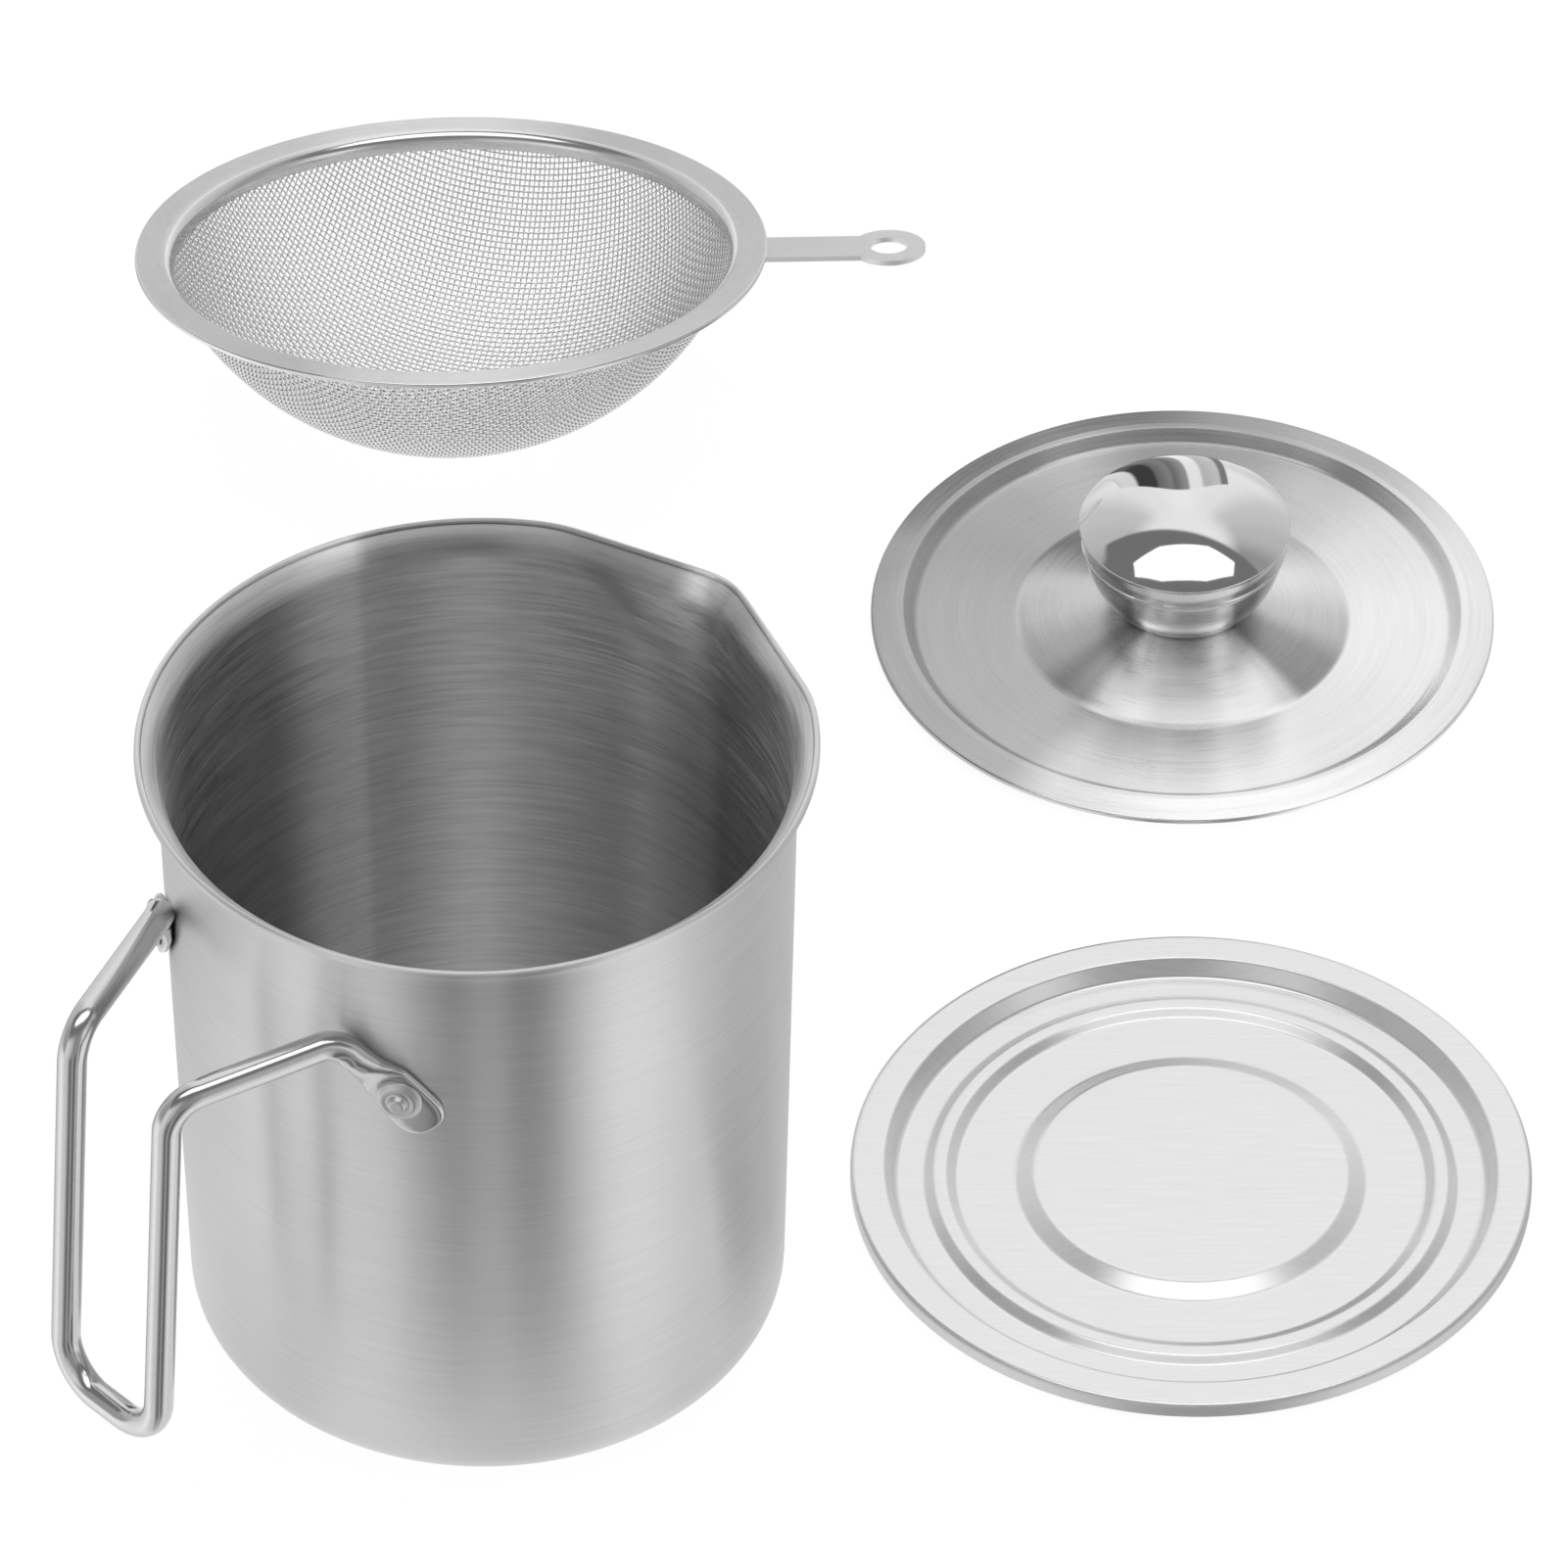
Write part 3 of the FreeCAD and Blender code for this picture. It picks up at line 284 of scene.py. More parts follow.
def pot_levels():
    """The same round the whole sheet of the pot: up the outside, down the inside."""
    flat = BASE_RADIUS - BASE_CORNER
    low_radius = wall_radius(BASE_CORNER)
    levels = [(0.0, 0.0, 0, 0), (flat - 0.5, 0.0, 0, 0)]
    for step in range(13):
        angle = math.radians(-90 + 90 * step / 12)
        levels.append((low_radius - BASE_CORNER + BASE_CORNER * math.cos(angle),
                       BASE_CORNER + BASE_CORNER * math.sin(angle), 0, 0))
    levels += [(wall_radius(z), z, 0, 0) for z in (10, 30, 50, 70, 85)]
    levels += spout_levels(0) + flare_levels(0)[1:]
    lip_radius = levels[-1][0]
    round_over = RIM_HEM * 0.5
    for step in range(9):
        angle = math.radians(180 * step / 8)
        levels.append((lip_radius - round_over + round_over * math.cos(angle),
                       POT_HEIGHT - round_over + round_over * math.sin(angle), 1, 0))
    levels += reversed(spout_levels(POT_WALL) + flare_levels(POT_WALL)[:-1])
    levels += [(wall_radius(z) - POT_WALL, z, 0, 0) for z in (85, 70, 50, 30, 10)]
    inner_corner = BASE_CORNER - POT_WALL
    for step in range(13):
        angle = math.radians(-90 * step / 12)
        levels.append((low_radius - BASE_CORNER + inner_corner * math.cos(angle),
                       BASE_CORNER + inner_corner * math.sin(angle), 0, 0))
    levels += [(flat - 0.5, POT_WALL, 0, 0), (0.0, POT_WALL, 0, 0)]
    return levels


def make_pot_shell():
    levels = pot_levels()

    def radius_of(index, angles):
        radius, _, share, inset = levels[index]
        return spout_radius(radius, share, inset, angles)

    outline = [(radius, height) for radius, height, _, _ in levels]
    place = Matrix.Rotation(POT_YAW, 4, "Z")
    shell = lathe("pot_shell", outline, place, "pot", 720, radius_of, sharp_angle=60)
    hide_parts("pot_body")
    return shell


# ---- handle ----


def around_wall(radius, angle, height):
    """A point beside the pot, by angle from the handle's middle plane."""
    return Vector((-radius * math.cos(angle), radius * math.sin(angle), height))


def bent_path(points, radii):
    """Points along straight runs joined by tangent arcs."""
    path = [points[0]]
    for before, corner, after, radius in zip(points, points[1:], points[2:], radii):
        inward = (corner - before).normalized()
        outward = (after - corner).normalized()
        turn = inward.angle(outward)
        reach = radius * math.tan(turn / 2)
        start, end = corner - inward * reach, corner + outward * reach
        path += corner_arc(start, corner, end, turn, max(8, int(turn / math.radians(5))))
    path.append(points[-1])
    return path


def tongue_run():
    """Unit run of the tongue over the wall, as (level, up), and its length from arm to rivet."""
    level = wall_radius(RIVET_HEIGHT) * RIVET_ANGLE - wall_radius(ARM_HEIGHT) * ARM_ANGLE
    up = RIVET_HEIGHT - ARM_HEIGHT
    length = math.hypot(level, up)
    return level / length, up / length, length


def tongue_sections(start):
    """(centre, across, outward, half width, half thickness, squareness) from the tip to the arm."""
    level, up, to_rivet = tongue_run()
    tip = to_rivet + TONGUE_OVERHANG
    change = to_rivet - TONGUE_HALF_WIDTH * 0.8 - start
    wide, thin, wire = TONGUE_HALF_WIDTH, TONGUE_HALF_THICKNESS, WIRE_RADIUS
    stops = (start, start + 0.4 * change, start + 0.75 * change, start + change, to_rivet, tip)
    widths = (wire, wire * 1.15, wire * 1.5, wide * 0.95, wide, wide)
    depths = (wire, wire * 0.8, wire * 0.52, thin, thin, thin)
    squares = (2.0, 2.2, 2.8, 3.6, 4.5, 4.5)
    distances = list(np.linspace(start, to_rivet, 26))
    distances += list(np.linspace(to_rivet, tip - wide, 8)[1:])
    for angle in (12, 24, 36, 48, 58, 67, 75, 81, 86):
        distances.append(tip - wide + wide * math.sin(math.radians(angle)))
    sections = []
    for distance in reversed(distances):
        height = ARM_HEIGHT + up * distance
        wall = wall_radius(height)
        angle = ARM_ANGLE + level * distance / wall
        outward = around_wall(1, angle, 0).normalized()
        sideways = Vector((outward.y, -outward.x, 0))
        along = (sideways * level + Vector((0, 0, 1)) * up).normalized()
        half_width = float(np.interp(distance, stops, widths))
        half_thickness = float(np.interp(distance, stops, depths))
        squareness = float(np.interp(distance, stops, squares))
        beyond = max(0.0, (distance - (tip - wide)) / wide)
        half_width *= (1 - beyond ** 2.6) ** (1 / 2.6)
        edge = max(0.0, (beyond - 0.93) / 0.07)
        half_thickness *= 1 - 0.35 * edge ** 2
        centre = around_wall(wall + WALL_GAP + max(half_thickness, thin), angle, height)
        across = along.cross(outward)
        sections.append((centre, across, outward, half_width, half_thickness, squareness))
    return sections


def superellipse(centre, across, outward, half_width, half_thickness, squareness):
    """Points round one section: a circle at squareness 2, a strip with rounded edges above it."""
    points = []
    for index in range(WIRE_SIDES):
        angle = 2 * math.pi * index / WIRE_SIDES
        cosine, sine = math.cos(angle), math.sin(angle)
        sideways = math.copysign(abs(cosine) ** (2 / squareness), cosine) * half_width
        out = math.copysign(abs(sine) ** (2 / squareness), sine) * half_thickness
        points.append(centre + across * sideways + outward * out)
    return points


def make_handle():
    """The bent wire: half of it from the tip of a tongue to the middle of the foot, mirrored."""
    arm_root = around_wall(wall_radius(ARM_HEIGHT) + WALL_GAP + WIRE_RADIUS, ARM_ANGLE, ARM_HEIGHT)
    elbow = Vector((-ELBOW[0], ELBOW[1], ELBOW[2]))
    foot = Vector((-FOOT[0], FOOT[1], FOOT[2]))
    middle = Vector((foot.x, 0, foot.z))
    level, up, _ = tongue_run()
    outward = around_wall(1, ARM_ANGLE, 0).normalized()
    along = Vector((outward.y, -outward.x, 0)) * level + Vector((0, 0, 1)) * up
    turn = (elbow - arm_root).angle(-along)
    start = ARM_BEND * math.tan(turn / 2)
    sections = tongue_sections(start)
    path = bent_path([arm_root + along * start, arm_root, elbow, foot, middle],
                     [ARM_BEND, ELBOW_BEND, FOOT_BEND])[2:]
    across, out = sections[-1][1], sections[-1][2]
    spaced = []
    for a, b in zip(path, path[1:]):
        pieces = max(1, int((b - a).length / 6))
        spaced += [a.lerp(b, k / pieces) for k in range(pieces)]
    spaced.append(path[-1])
    rings = [superellipse(*section) for section in sections]
    previous = (sections[-1][0] - sections[-2][0]).normalized()
    for index, point in enumerate(spaced):
        before = spaced[index - 1] if index else sections[-1][0]
        after = spaced[index + 1] if index + 1 < len(spaced) else None
        tangent = (point - before).normalized()
        if after is not None:
            tangent = (tangent + (after - point).normalized()).normalized()
        else:
            tangent = Vector((0, -1, 0))
        rotation = previous.rotation_difference(tangent)
        across, out = rotation @ across, rotation @ out
        previous = tangent
        rings.append(superellipse(point, across, out, WIRE_RADIUS, WIRE_RADIUS, 2.0))
    for point in rings[-1]:
        point.y = 0
    rings.insert(0, [sum(rings[0], Vector()) / WIRE_SIDES])
    half = [point for ring in rings for point in ring]
    half_faces = ring_faces(rings, WIRE_SIDES, False)
    mirrored = [Vector((point.x, -point.y, point.z)) for point in half]
    faces = half_faces + [tuple(len(half) + i for i in reversed(face)) for face in half_faces]
    place = Matrix.Rotation(POT_YAW, 4, "Z")
    wire = mesh_object("handle_bent_wire", half + mirrored, faces, place, "pot")
    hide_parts("handle_wire")
    return wire


def make_rivets():
    """Two rivets; each is turned about its own axis and laid radially."""
    head, shank = 4.1, 2.0
    wall = wall_radius(RIVET_HEIGHT)
    face = wall + WALL_GAP + 2 * TONGUE_HALF_THICKNESS + 0.02
    inner = math.sqrt((wall - POT_WALL) ** 2 - head ** 2)
    outline = rounded([
        (0, inner - 0.9, 0), (3.0, inner - 0.9, 0.8), (head, inner - 0.3, 0.3), (head, inner, 0),
        (shank, inner, 0), (shank, face, 0), (head, face, 0), (head, face + 0.6, 0.35),
        (3.0, face + 1.3, 0.8), (2.1, face + 1.22, 0.25), (1.8, face + 1.3, 0.2),
        (1.35, face + 2.3, 0.5), (0, face + 2.3, 0)])
    rivets = []
    for name, side in (("rivet_left", 1), ("rivet_right", -1)):
        turn = Matrix.Rotation(POT_YAW + math.pi - RIVET_ANGLE * side, 4, "Z")
        turn = turn @ Matrix.Rotation(math.pi / 2, 4, "Y")
        rivet = lathe(name, outline, at(0, 0, RIVET_HEIGHT, turn), "pot", 64)
        rivets.append(rivet)
    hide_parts("handle_rivets")
    return rivets


# ---- strainer ----


def strainer_place():
    """The round bowl leans away from the viewer about the centre of its sphere."""
    axis = Vector((-math.sin(STRAINER_HEADING), math.cos(STRAINER_HEADING), 0))
    lean = Matrix.Rotation(STRAINER_LEAN, 4, axis)
    centre = at(STRAINER_SPOT[0], STRAINER_SPOT[1], BOWL_SPHERE)
    return centre @ lean @ at(0, 0, -BOWL_SPHERE, Matrix.Rotation(STRAINER_YAW, 4, "Z"))


def make_strainer_ring():
    """Flange and sleeve, with a broadly rounded mouth; the mesh's edge sits in the slot."""
    top, under, low = BOWL_DEPTH, BOWL_DEPTH - FLANGE_THICKNESS, BOWL_DEPTH - SLEEVE_LENGTH
    inside, outside = SLEEVE_INSIDE, SLEEVE_OUTSIDE
    fold, mouth, slot_top = 0.35, 2.6, low + 1.6
    outline = rounded(
        [(inside + mouth + 0.25, top, 0)]
        + arc((inside + mouth, top - mouth), mouth, 90, 180, 12)
        + [(inside, low, 0.15), (inside + fold, low, 0.1), (inside + fold, slot_top, 0),
           (outside - fold, slot_top, 0), (outside - fold, low, 0.1), (outside, low, 0.15),
           (outside, under, 0.2), (FLANGE_RADIUS, under, 0.42), (FLANGE_RADIUS, top, 0.5)])
    ring = lathe("strainer_ring", outline, strainer_place(), "strainer", 320)
    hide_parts("strainer_rim")
    return ring


def weave_wires(flip):
    """Centre lines of one family of the plain weave, on the bowl's sphere, waved at its crossings.

    Lines at equal steps on the flat cloth are wrapped on the sphere about the bowl's middle.
    """
    edge_angle = math.asin(BOWL_EDGE / BOWL_SPHERE)
    edge = MESH_SPHERE * edge_angle + MESH_TUCK
    per_pitch = 3
    count = int(edge / MESH_PITCH)
    lines = []
    for index in range(-count, count + 1):
        offset = index * MESH_PITCH
        half = math.sqrt(max(edge ** 2 - offset ** 2, 0))
        steps = int(2 * half / MESH_PITCH * per_pitch)
        if steps < 4:
            continue
        run = np.linspace(-half, half, steps + 1)
        wave = np.cos(math.pi * run / MESH_PITCH + (math.pi if (index + flip) % 2 else 0))
        lift = wave * MESH_WIRE_RADIUS * MESH_WAVE
        u, v = (np.full_like(run, offset), run) if flip else (run, np.full_like(run, offset))
        distance = np.hypot(u, v) + 1e-9
        climb = distance / MESH_SPHERE
        radius = MESH_SPHERE - lift
        heading = np.arctan2(v, u) + MESH_TURN
        x = radius * np.sin(climb) * np.cos(heading)
        y = radius * np.sin(climb) * np.sin(heading)
        z = BOWL_SPHERE - radius * np.cos(climb)
        lines.append(np.stack((x, y, z), axis=1))
    return lines


def make_mesh_family(name, flip):
    """Three-sided wires along one family of lines."""
    vertices, faces = [], []
    centre = np.array((0, 0, BOWL_SPHERE))
    for line in weave_wires(flip):
        tangent = np.gradient(line, axis=0)
        tangent /= np.linalg.norm(tangent, axis=1)[:, None]
        outward = line - centre
        outward /= np.linalg.norm(outward, axis=1)[:, None]
        side = np.cross(tangent, outward)
        side /= np.linalg.norm(side, axis=1)[:, None]
        outward = np.cross(side, tangent)
        base = len(vertices)
        rings = [line + MESH_WIRE_RADIUS * MESH_CORNER * (math.cos(a) * outward + math.sin(a) * side)
                 for a in (math.radians(180), math.radians(60), math.radians(-60))]
        vertices += [tuple(point) for group in zip(*rings) for point in group]
        for step in range(len(line) - 1):
            a, b = base + 3 * step, base + 3 * step + 3
            for i in range(3):
                j = (i + 1) % 3
                faces.append((a + i, a + j, b + j, b + i))
    return mesh_object(name, vertices, faces, strainer_place(), "strainer", 180)


def make_woven_bowl():
    warp = make_mesh_family("strainer_warp", 0)
    weft = make_mesh_family("strainer_weft", 1)
    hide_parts("strainer_mesh")
    return warp, weft


# ---- lid and knob ----


def lid_place():
    return at(LID_SPOT[0], LID_SPOT[1], LID_SHEET)


def make_lid_sheet():
    """One outline: under the raised centre, plug wall and flange, and back over the top."""
    sheet = LID_SHEET
    dome, rise, hole = LID_DOME_RADIUS, 6.5, 2.75
    sphere = (dome ** 2 + rise ** 2) / (2 * rise)
    lean = (math.hypot(2.4, 2.4) - 2.4) / 2.4
    top_start = math.degrees(math.acos(dome / sphere))
    top_end = math.degrees(math.acos(hole / sphere))
    inner = sphere - sheet
    crease_in = dome - sheet * (sphere - math.hypot(sphere - rise, dome) + rise) / dome
    low_end = math.degrees(math.acos(min(1.0, crease_in / inner)))
    low_start = math.degrees(math.acos(hole / inner))
    centre = (0, rise - sphere)
    outline = rounded(
        arc(centre, inner, low_start, low_end, 16)
        + [(50.0 + sheet * lean, -sheet, 1.0), (52.4 + sheet * lean, 1.7, 0.4), (53.7, 1.7, 0.6),
           (57.8, 0.8, 0.1), (57.8, 0.55, 0.05), (58.5, 0.55, 0.2), (58.5, 1.5, 0.45),
           (53.7, 2.4, 1.4), (52.4, 2.4, 0.55), (50.0, 0, 1.7), (dome + 0.6, 0, 0.5)]
        + arc(centre, sphere, top_start, top_end, 24))
    lid = lathe("lid_sheet", outline, lid_place(), "lid", 320, sharp_angle=60)
    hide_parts("lid_plate")
    return lid


def make_knob_crown():
    """Crown, band and the fine ridge at the band's lower edge."""
    sheet, seam, radius = 0.5, 23.3, 19.75
    shoulder, crown, rise = radius - 0.8, seam + 0.8, 6.7
    low, band = seam - 4.7, radius - 0.5
    sphere = (shoulder ** 2 + rise ** 2) / (2 * rise)
    edge = math.degrees(math.acos(shoulder / sphere))
    outline = rounded(
        [(0, crown + rise - sheet, 0), (shoulder - 0.25, crown - sheet, 0),
         (radius - sheet, seam - sheet, 0.3), (band - sheet, low, 0.1), (band - 0.15, low, 0.1),
         (band, low + 0.15, 0.12), (band, low + 0.55, 0.15), (band - 0.16, low + 0.8, 0.12),
         (band - 0.1, low + 1.1, 0.2), (radius - 0.12, seam - 0.5, 0.4), (radius, seam - 0.1, 0.25),
         (radius, crown - 0.8 * shoulder / (sphere - rise), 0.9)]
        + arc((0, crown + rise - sphere), sphere, edge, 90, 26))
    cap = lathe("knob_crown", outline, lid_place(), "lid", 256, sharp_angle=50)
    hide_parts("knob_cap")
    return cap


def make_knob_bowl():
    """The lower bowl: foot ring on the raised centre, bulging side up into the band."""
    sheet, foot, low = 0.5, 12.5, 18.6
    neck, floor, foot_height, bulge = 18.75, 6.6, 5.63, 18.9
    chord = Vector((neck - foot, low - foot_height))
    out = Vector((chord.y, -chord.x)).normalized()
    middle = Vector((foot, foot_height)) + chord / 2
    centre = middle - out * math.sqrt(bulge ** 2 - (chord.length / 2) ** 2)
    start = math.degrees(math.atan2(foot_height - centre.y, foot - centre.x))
    end = math.degrees(math.atan2(low - centre.y, neck - centre.x))
    outline = rounded(
        [(2.75, floor, 0), (foot - 1.0, floor, 0.2), (foot - 0.5, foot_height, 0.1)]
        + arc(centre, bulge, start, end, 20)
        + [(neck, low + 2.6, 0.1), (neck - sheet, low + 2.6, 0.1), (neck - sheet, low, 0)]
        + arc(centre, bulge - sheet, end, start + 2, 12)
        + [(foot - 1.2, floor + sheet, 0), (2.75, floor + sheet, 0)])
    bowl = lathe("knob_bowl", outline, lid_place(), "lid", 256, sharp_angle=50)
    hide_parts("knob_cup")
    return bowl


# ---- tray ----


def make_saucer():
    """Top of the sheet from the middle to the skirt, then its underside back to the middle."""
    sheet, low = 0.6, 0.6
    lean = (math.hypot(1.8, 1.3) - 1.8) / 1.3 * sheet
    centre_lean = (math.hypot(3.3, 1.7) - 3.3) / 1.7 * sheet
    wall_lean = (math.hypot(2.0, 3.3) - 2.0) / 3.3 * sheet
    outline = rounded([
        (0, low + 1.7, 0), (28.1, low + 1.7, 1.6), (31.4, low, 1.6),
        (42.0, low, 0.9), (43.8, low + 1.3, 0.9), (46.0, low + 1.3, 0.9), (47.8, low, 0.9),
        (52.8, low, 1.2), (54.8, low + 3.3, 0.8), (TRAY_RADIUS, low + 3.3, 1.0),
        (TRAY_RADIUS, 1.1, 0.1), (TRAY_RADIUS - sheet, 1.1, 0.1),
        (TRAY_RADIUS - sheet, low + 2.7, 0.5), (54.8 + wall_lean, low + 2.7, 0.3),
        (52.8 + wall_lean, 0, 0.8), (47.8 - lean, 0, 0.5), (46.0 - lean, 1.3, 0.5),
        (43.8 + lean, 1.3, 0.5), (42.0 + lean, 0, 0.5), (31.4 - centre_lean, 0, 1.0),
        (28.1 - centre_lean, 1.7, 1.0), (0, 1.7, 0)])
    saucer = lathe("tray_saucer", outline, at(TRAY_SPOT[0], TRAY_SPOT[1]), "drip_tray", 320)
    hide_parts("tray")
    return saucer


# ---- finishes ----


class Value:
    """A node's output, with arithmetic that adds Math nodes."""

    def __init__(self, nodes, socket):
        self.nodes = nodes
        self.socket = socket

    def math(self, operation, *values):
        return self.nodes.add("Math", {"operation": operation}, *values)

    def __add__(self, other):
        return self.math("ADD", self, other)

    def __radd__(self, other):
        return self.math("ADD", other, self)

    def __sub__(self, other):
        return self.math("SUBTRACT", self, other)

    def __rsub__(self, other):
        return self.math("SUBTRACT", other, self)

    def __mul__(self, other):
        return self.math("MULTIPLY", self, other)

    def __rmul__(self, other):
        return self.math("MULTIPLY", other, self)

    def __truediv__(self, other):
        return self.math("DIVIDE", self, other)

    def __rtruediv__(self, other):
        return self.math("DIVIDE", other, self)

    def __pow__(self, other):
        return self.math("POWER", self, other)

    def __rpow__(self, other):
        return self.math("POWER", other, self)


class Nodes:
    """A node tree that is filled by add()."""

    def __init__(self, tree):
        self.tree = tree
        tree.nodes.clear()

    def add(self, kind, settings=None, *values, out=0, **named):
        """One node: its settings are set first, then its sockets' values or links."""
        node = self.tree.nodes.new("ShaderNode" + kind)
        for key, value in (settings or {}).items():
            if key == "stops":
                self.fill_ramp(node.color_ramp, value)
            else:
                setattr(node, key, value)
        for socket, value in zip(node.inputs, values):
            self.feed(socket, value)
        for name, value in named.items():
            self.feed(node.inputs[name.replace("_", " ")], value)
        return Value(self, node.outputs[out]) if len(node.outputs) else None

    def feed(self, socket, value):
        if isinstance(value, Value):
            self.tree.links.new(value.socket, socket)
        else:
            socket.default_value = value

    def fill_ramp(self, ramp, stops):
        """Greys at their positions, eased into each other."""
        ramp.interpolation = "EASE"
        for index, (position, value) in enumerate(stops):
            stop = ramp.elements[index] if index < 2 else ramp.elements.new(position)
            stop.position = position
            stop.color = grey(value)


def grey(value):
    return (value, value, value, 1)


def by_heading(nodes, x, y, table):
    """A table's value for the heading of (x, y) in degrees: 0 along x, 90 along y."""
    turn = nodes.add("Math", {"operation": "ARCTAN2"}, y, x) / (2 * math.pi) + 0.5
    stops = [((heading + 180) / 360, value) for heading, value in table]
    return nodes.add("ValToRGB", {"stops": stops}, turn)


CLOUD_SCALE = 38.0
CLOUD_SPREAD = 0.05
SCRATCH_DEPTH = 0.00012


def steel(name, brush, tone, roughness, spread, scratch, anisotropic=0.0, painted_light=None):
    """Stainless steel; brush(nodes, place) gives its fine grain from 0 to 1.

    tone is the base grey, spread how far the grain moves it, scratch the bump; the last argument, if
    given, is called with (nodes, place) for a factor that paints reflections, highlights and shade into
    the tone.
    Colour and roughness also vary with a broad, faint cloud.
    """
    material = bpy.data.materials.new(name)
    material.use_nodes = True
    nodes = Nodes(material.node_tree)
    place = nodes.add("TexCoord", out=3)
    cloud = nodes.add("TexNoise", None, place, Scale=CLOUD_SCALE, Detail=3.0, Roughness=0.55) - 0.5
    grain = brush(nodes, place)
    # Painted light: where a finish has it, a factor paints reflections, highlights and shade into the
    # tone.
    painted_light_factor = painted_light(nodes, place) if painted_light else 1.0
    shade = (tone + (grain - 0.5) * spread + cloud * CLOUD_SPREAD) * painted_light_factor
    colour = nodes.add("CombineColor", None, shade, shade, shade * 0.997)
    rough = roughness + (grain - 0.5) * spread * 0.5 + cloud * roughness * 0.3
    bump = nodes.add("Bump", None, Strength=scratch, Distance=SCRATCH_DEPTH, Height=grain)
    shader = nodes.add("BsdfPrincipled", None, Base_Color=colour, Metallic=1.0, Roughness=rough,
                       Anisotropic=anisotropic, Anisotropic_Rotation=0.25, Normal=bump)
    nodes.add("OutputMaterial", None, shader)
    return material


def polar(nodes, place, spot):
    """Radius and unit heading (x, y) about the upright axis through a spot, and the height."""
    x = nodes.add("SeparateXYZ", None, place, out=0) - spot[0] * MM
    y = nodes.add("SeparateXYZ", None, place, out=1) - spot[1] * MM
    z = nodes.add("SeparateXYZ", None, place, out=2)
    radius = (x * x + y * y + 1e-9) ** 0.5
    return radius, x / radius, y / radius, z


def round_grain(nodes, place, spot, fineness, arcs):
    """Lines brushed round the upright axis through a spot: fine ones over broader ones."""
    radius, east, north, z = polar(nodes, place, spot)
    layers = []
    for scale, turns in ((fineness, arcs), (fineness * 0.3, arcs * 0.7)):
        across = nodes.add("CombineXYZ", None, radius * scale, z * scale, east * turns)
        layers.append(nodes.add("TexNoise", {"noise_dimensions": "4D"}, across, north * turns,
                                Scale=1.0, Detail=1.5, Roughness=0.6))
    return layers[0] * 0.65 + layers[1] * 0.35


def wall_grain(nodes, place):
    return round_grain(nodes, place, (0, 0), 2400, 3.0)


def inside_grain(nodes, place):
    return round_grain(nodes, place, (0, 0), 2000, 4.5)


def lid_grain(nodes, place):
    return round_grain(nodes, place, LID_SPOT, 2200, 2.5)


def ring_grain(nodes, place):
    return round_grain(nodes, place, STRAINER_SPOT, 2000, 3.0)


# Painted reflections: factors on the tone by heading in degrees, anticlockwise from the right, that
# lighten and darken the steel like its reflections.
INSIDE_PAINTED_REFLECTION = [
    (-180, 1.0), (0, 1.0), (38, 0.95), (44, 1.36), (56, 1.38), (66, 0.92), (80, 1.0), (93, 1.25),
    (108, 1.05), (112, 1.08), (115, 1.34), (122, 1.32), (135, 0.80), (142, 0.80), (160, 0.85),
    (180, 1.0)]
# Painted reflections in the flared mouth: a bright streak and a dark patch beside the spout.
FLARE_PAINTED_REFLECTION = [
    (-180, 1.0), (25, 1.0), (36, 0.70), (42, 0.80), (45, 1.38), (48, 1.25), (54, 0.58), (60, 0.48),
    (85, 0.55), (108, 0.60), (111, 0.70), (114, 1.10), (180, 1.0)]
# Painted reflections on the lid's raised centre; those on the flat around it follow.
DOME_PAINTED_REFLECTION = [
    (-180, 0.75), (-152, 0.58), (-140, 0.42), (-131, 0.62), (-121, 1.28), (-111, 1.22), (-98, 0.95),
    (-84, 0.95), (-70, 1.15), (-58, 1.28), (-51, 1.05), (-43, 0.48), (-28, 0.50), (-10, 0.78),
    (20, 0.95), (180, 0.75)]
LID_PAINTED_REFLECTION = [
    (-180, 0.56), (-152, 0.58), (-129, 0.64), (-115, 1.02), (-90, 1.24), (-45, 1.20), (0, 1.05),
    (30, 0.95), (55, 0.74), (75, 0.54), (95, 0.50), (115, 0.76), (135, 0.64), (155, 0.56),
    (180, 0.56)]

# One painted reflection passes into the next between two heights in the pot, and between two radii on the
# lid.
OFF_POT_FLOOR = (3.0, 12.0)
ON_FLARE = (121.8, 124.3)
OFF_DOME = (LID_DOME_RADIUS - 0.4, LID_DOME_RADIUS + 0.4)
# Painted shade and highlight on the woven wires: a factor on their tone, from nearest the middle of the
# cloth, where a wire passes between its neighbours, to furthest from it, on its crests. The middle is
# shifted inwards, because the three-sided wires reach further that way.
WEAVE_DEPTHS = (0.06, 0.26)
WEAVE_PAINTED_SHADE_TO_HIGHLIGHT = (0.79, 1.15)
WEAVE_SHIFT = 0.05


def passed(nodes, measure, low, high):
    """From 0 at a low measure to 1 at a high one, both in millimetres."""
    return nodes.add("MapRange", None, measure, low * MM, high * MM, 0.0, 1.0)


def painted_reflection_round(nodes, place, spot, table):
    """A table's painted reflection: a factor on the tone by heading round an upright axis."""
    _, east, north, _ = polar(nodes, place, spot)
    return by_heading(nodes, east, north, table)


def inside_painted_reflection(nodes, place):
    """The flared mouth faces up, so it gets painted reflections of its own; the floor gets none."""
    _, _, _, height = polar(nodes, place, (0, 0))
    on_flare = passed(nodes, height, *ON_FLARE)
    wall = painted_reflection_round(nodes, place, (0, 0), INSIDE_PAINTED_REFLECTION)
    flare = painted_reflection_round(nodes, place, (0, 0), FLARE_PAINTED_REFLECTION)
    off_floor = passed(nodes, height, *OFF_POT_FLOOR)
    return (wall + (flare - wall) * on_flare - 1) * off_floor + 1


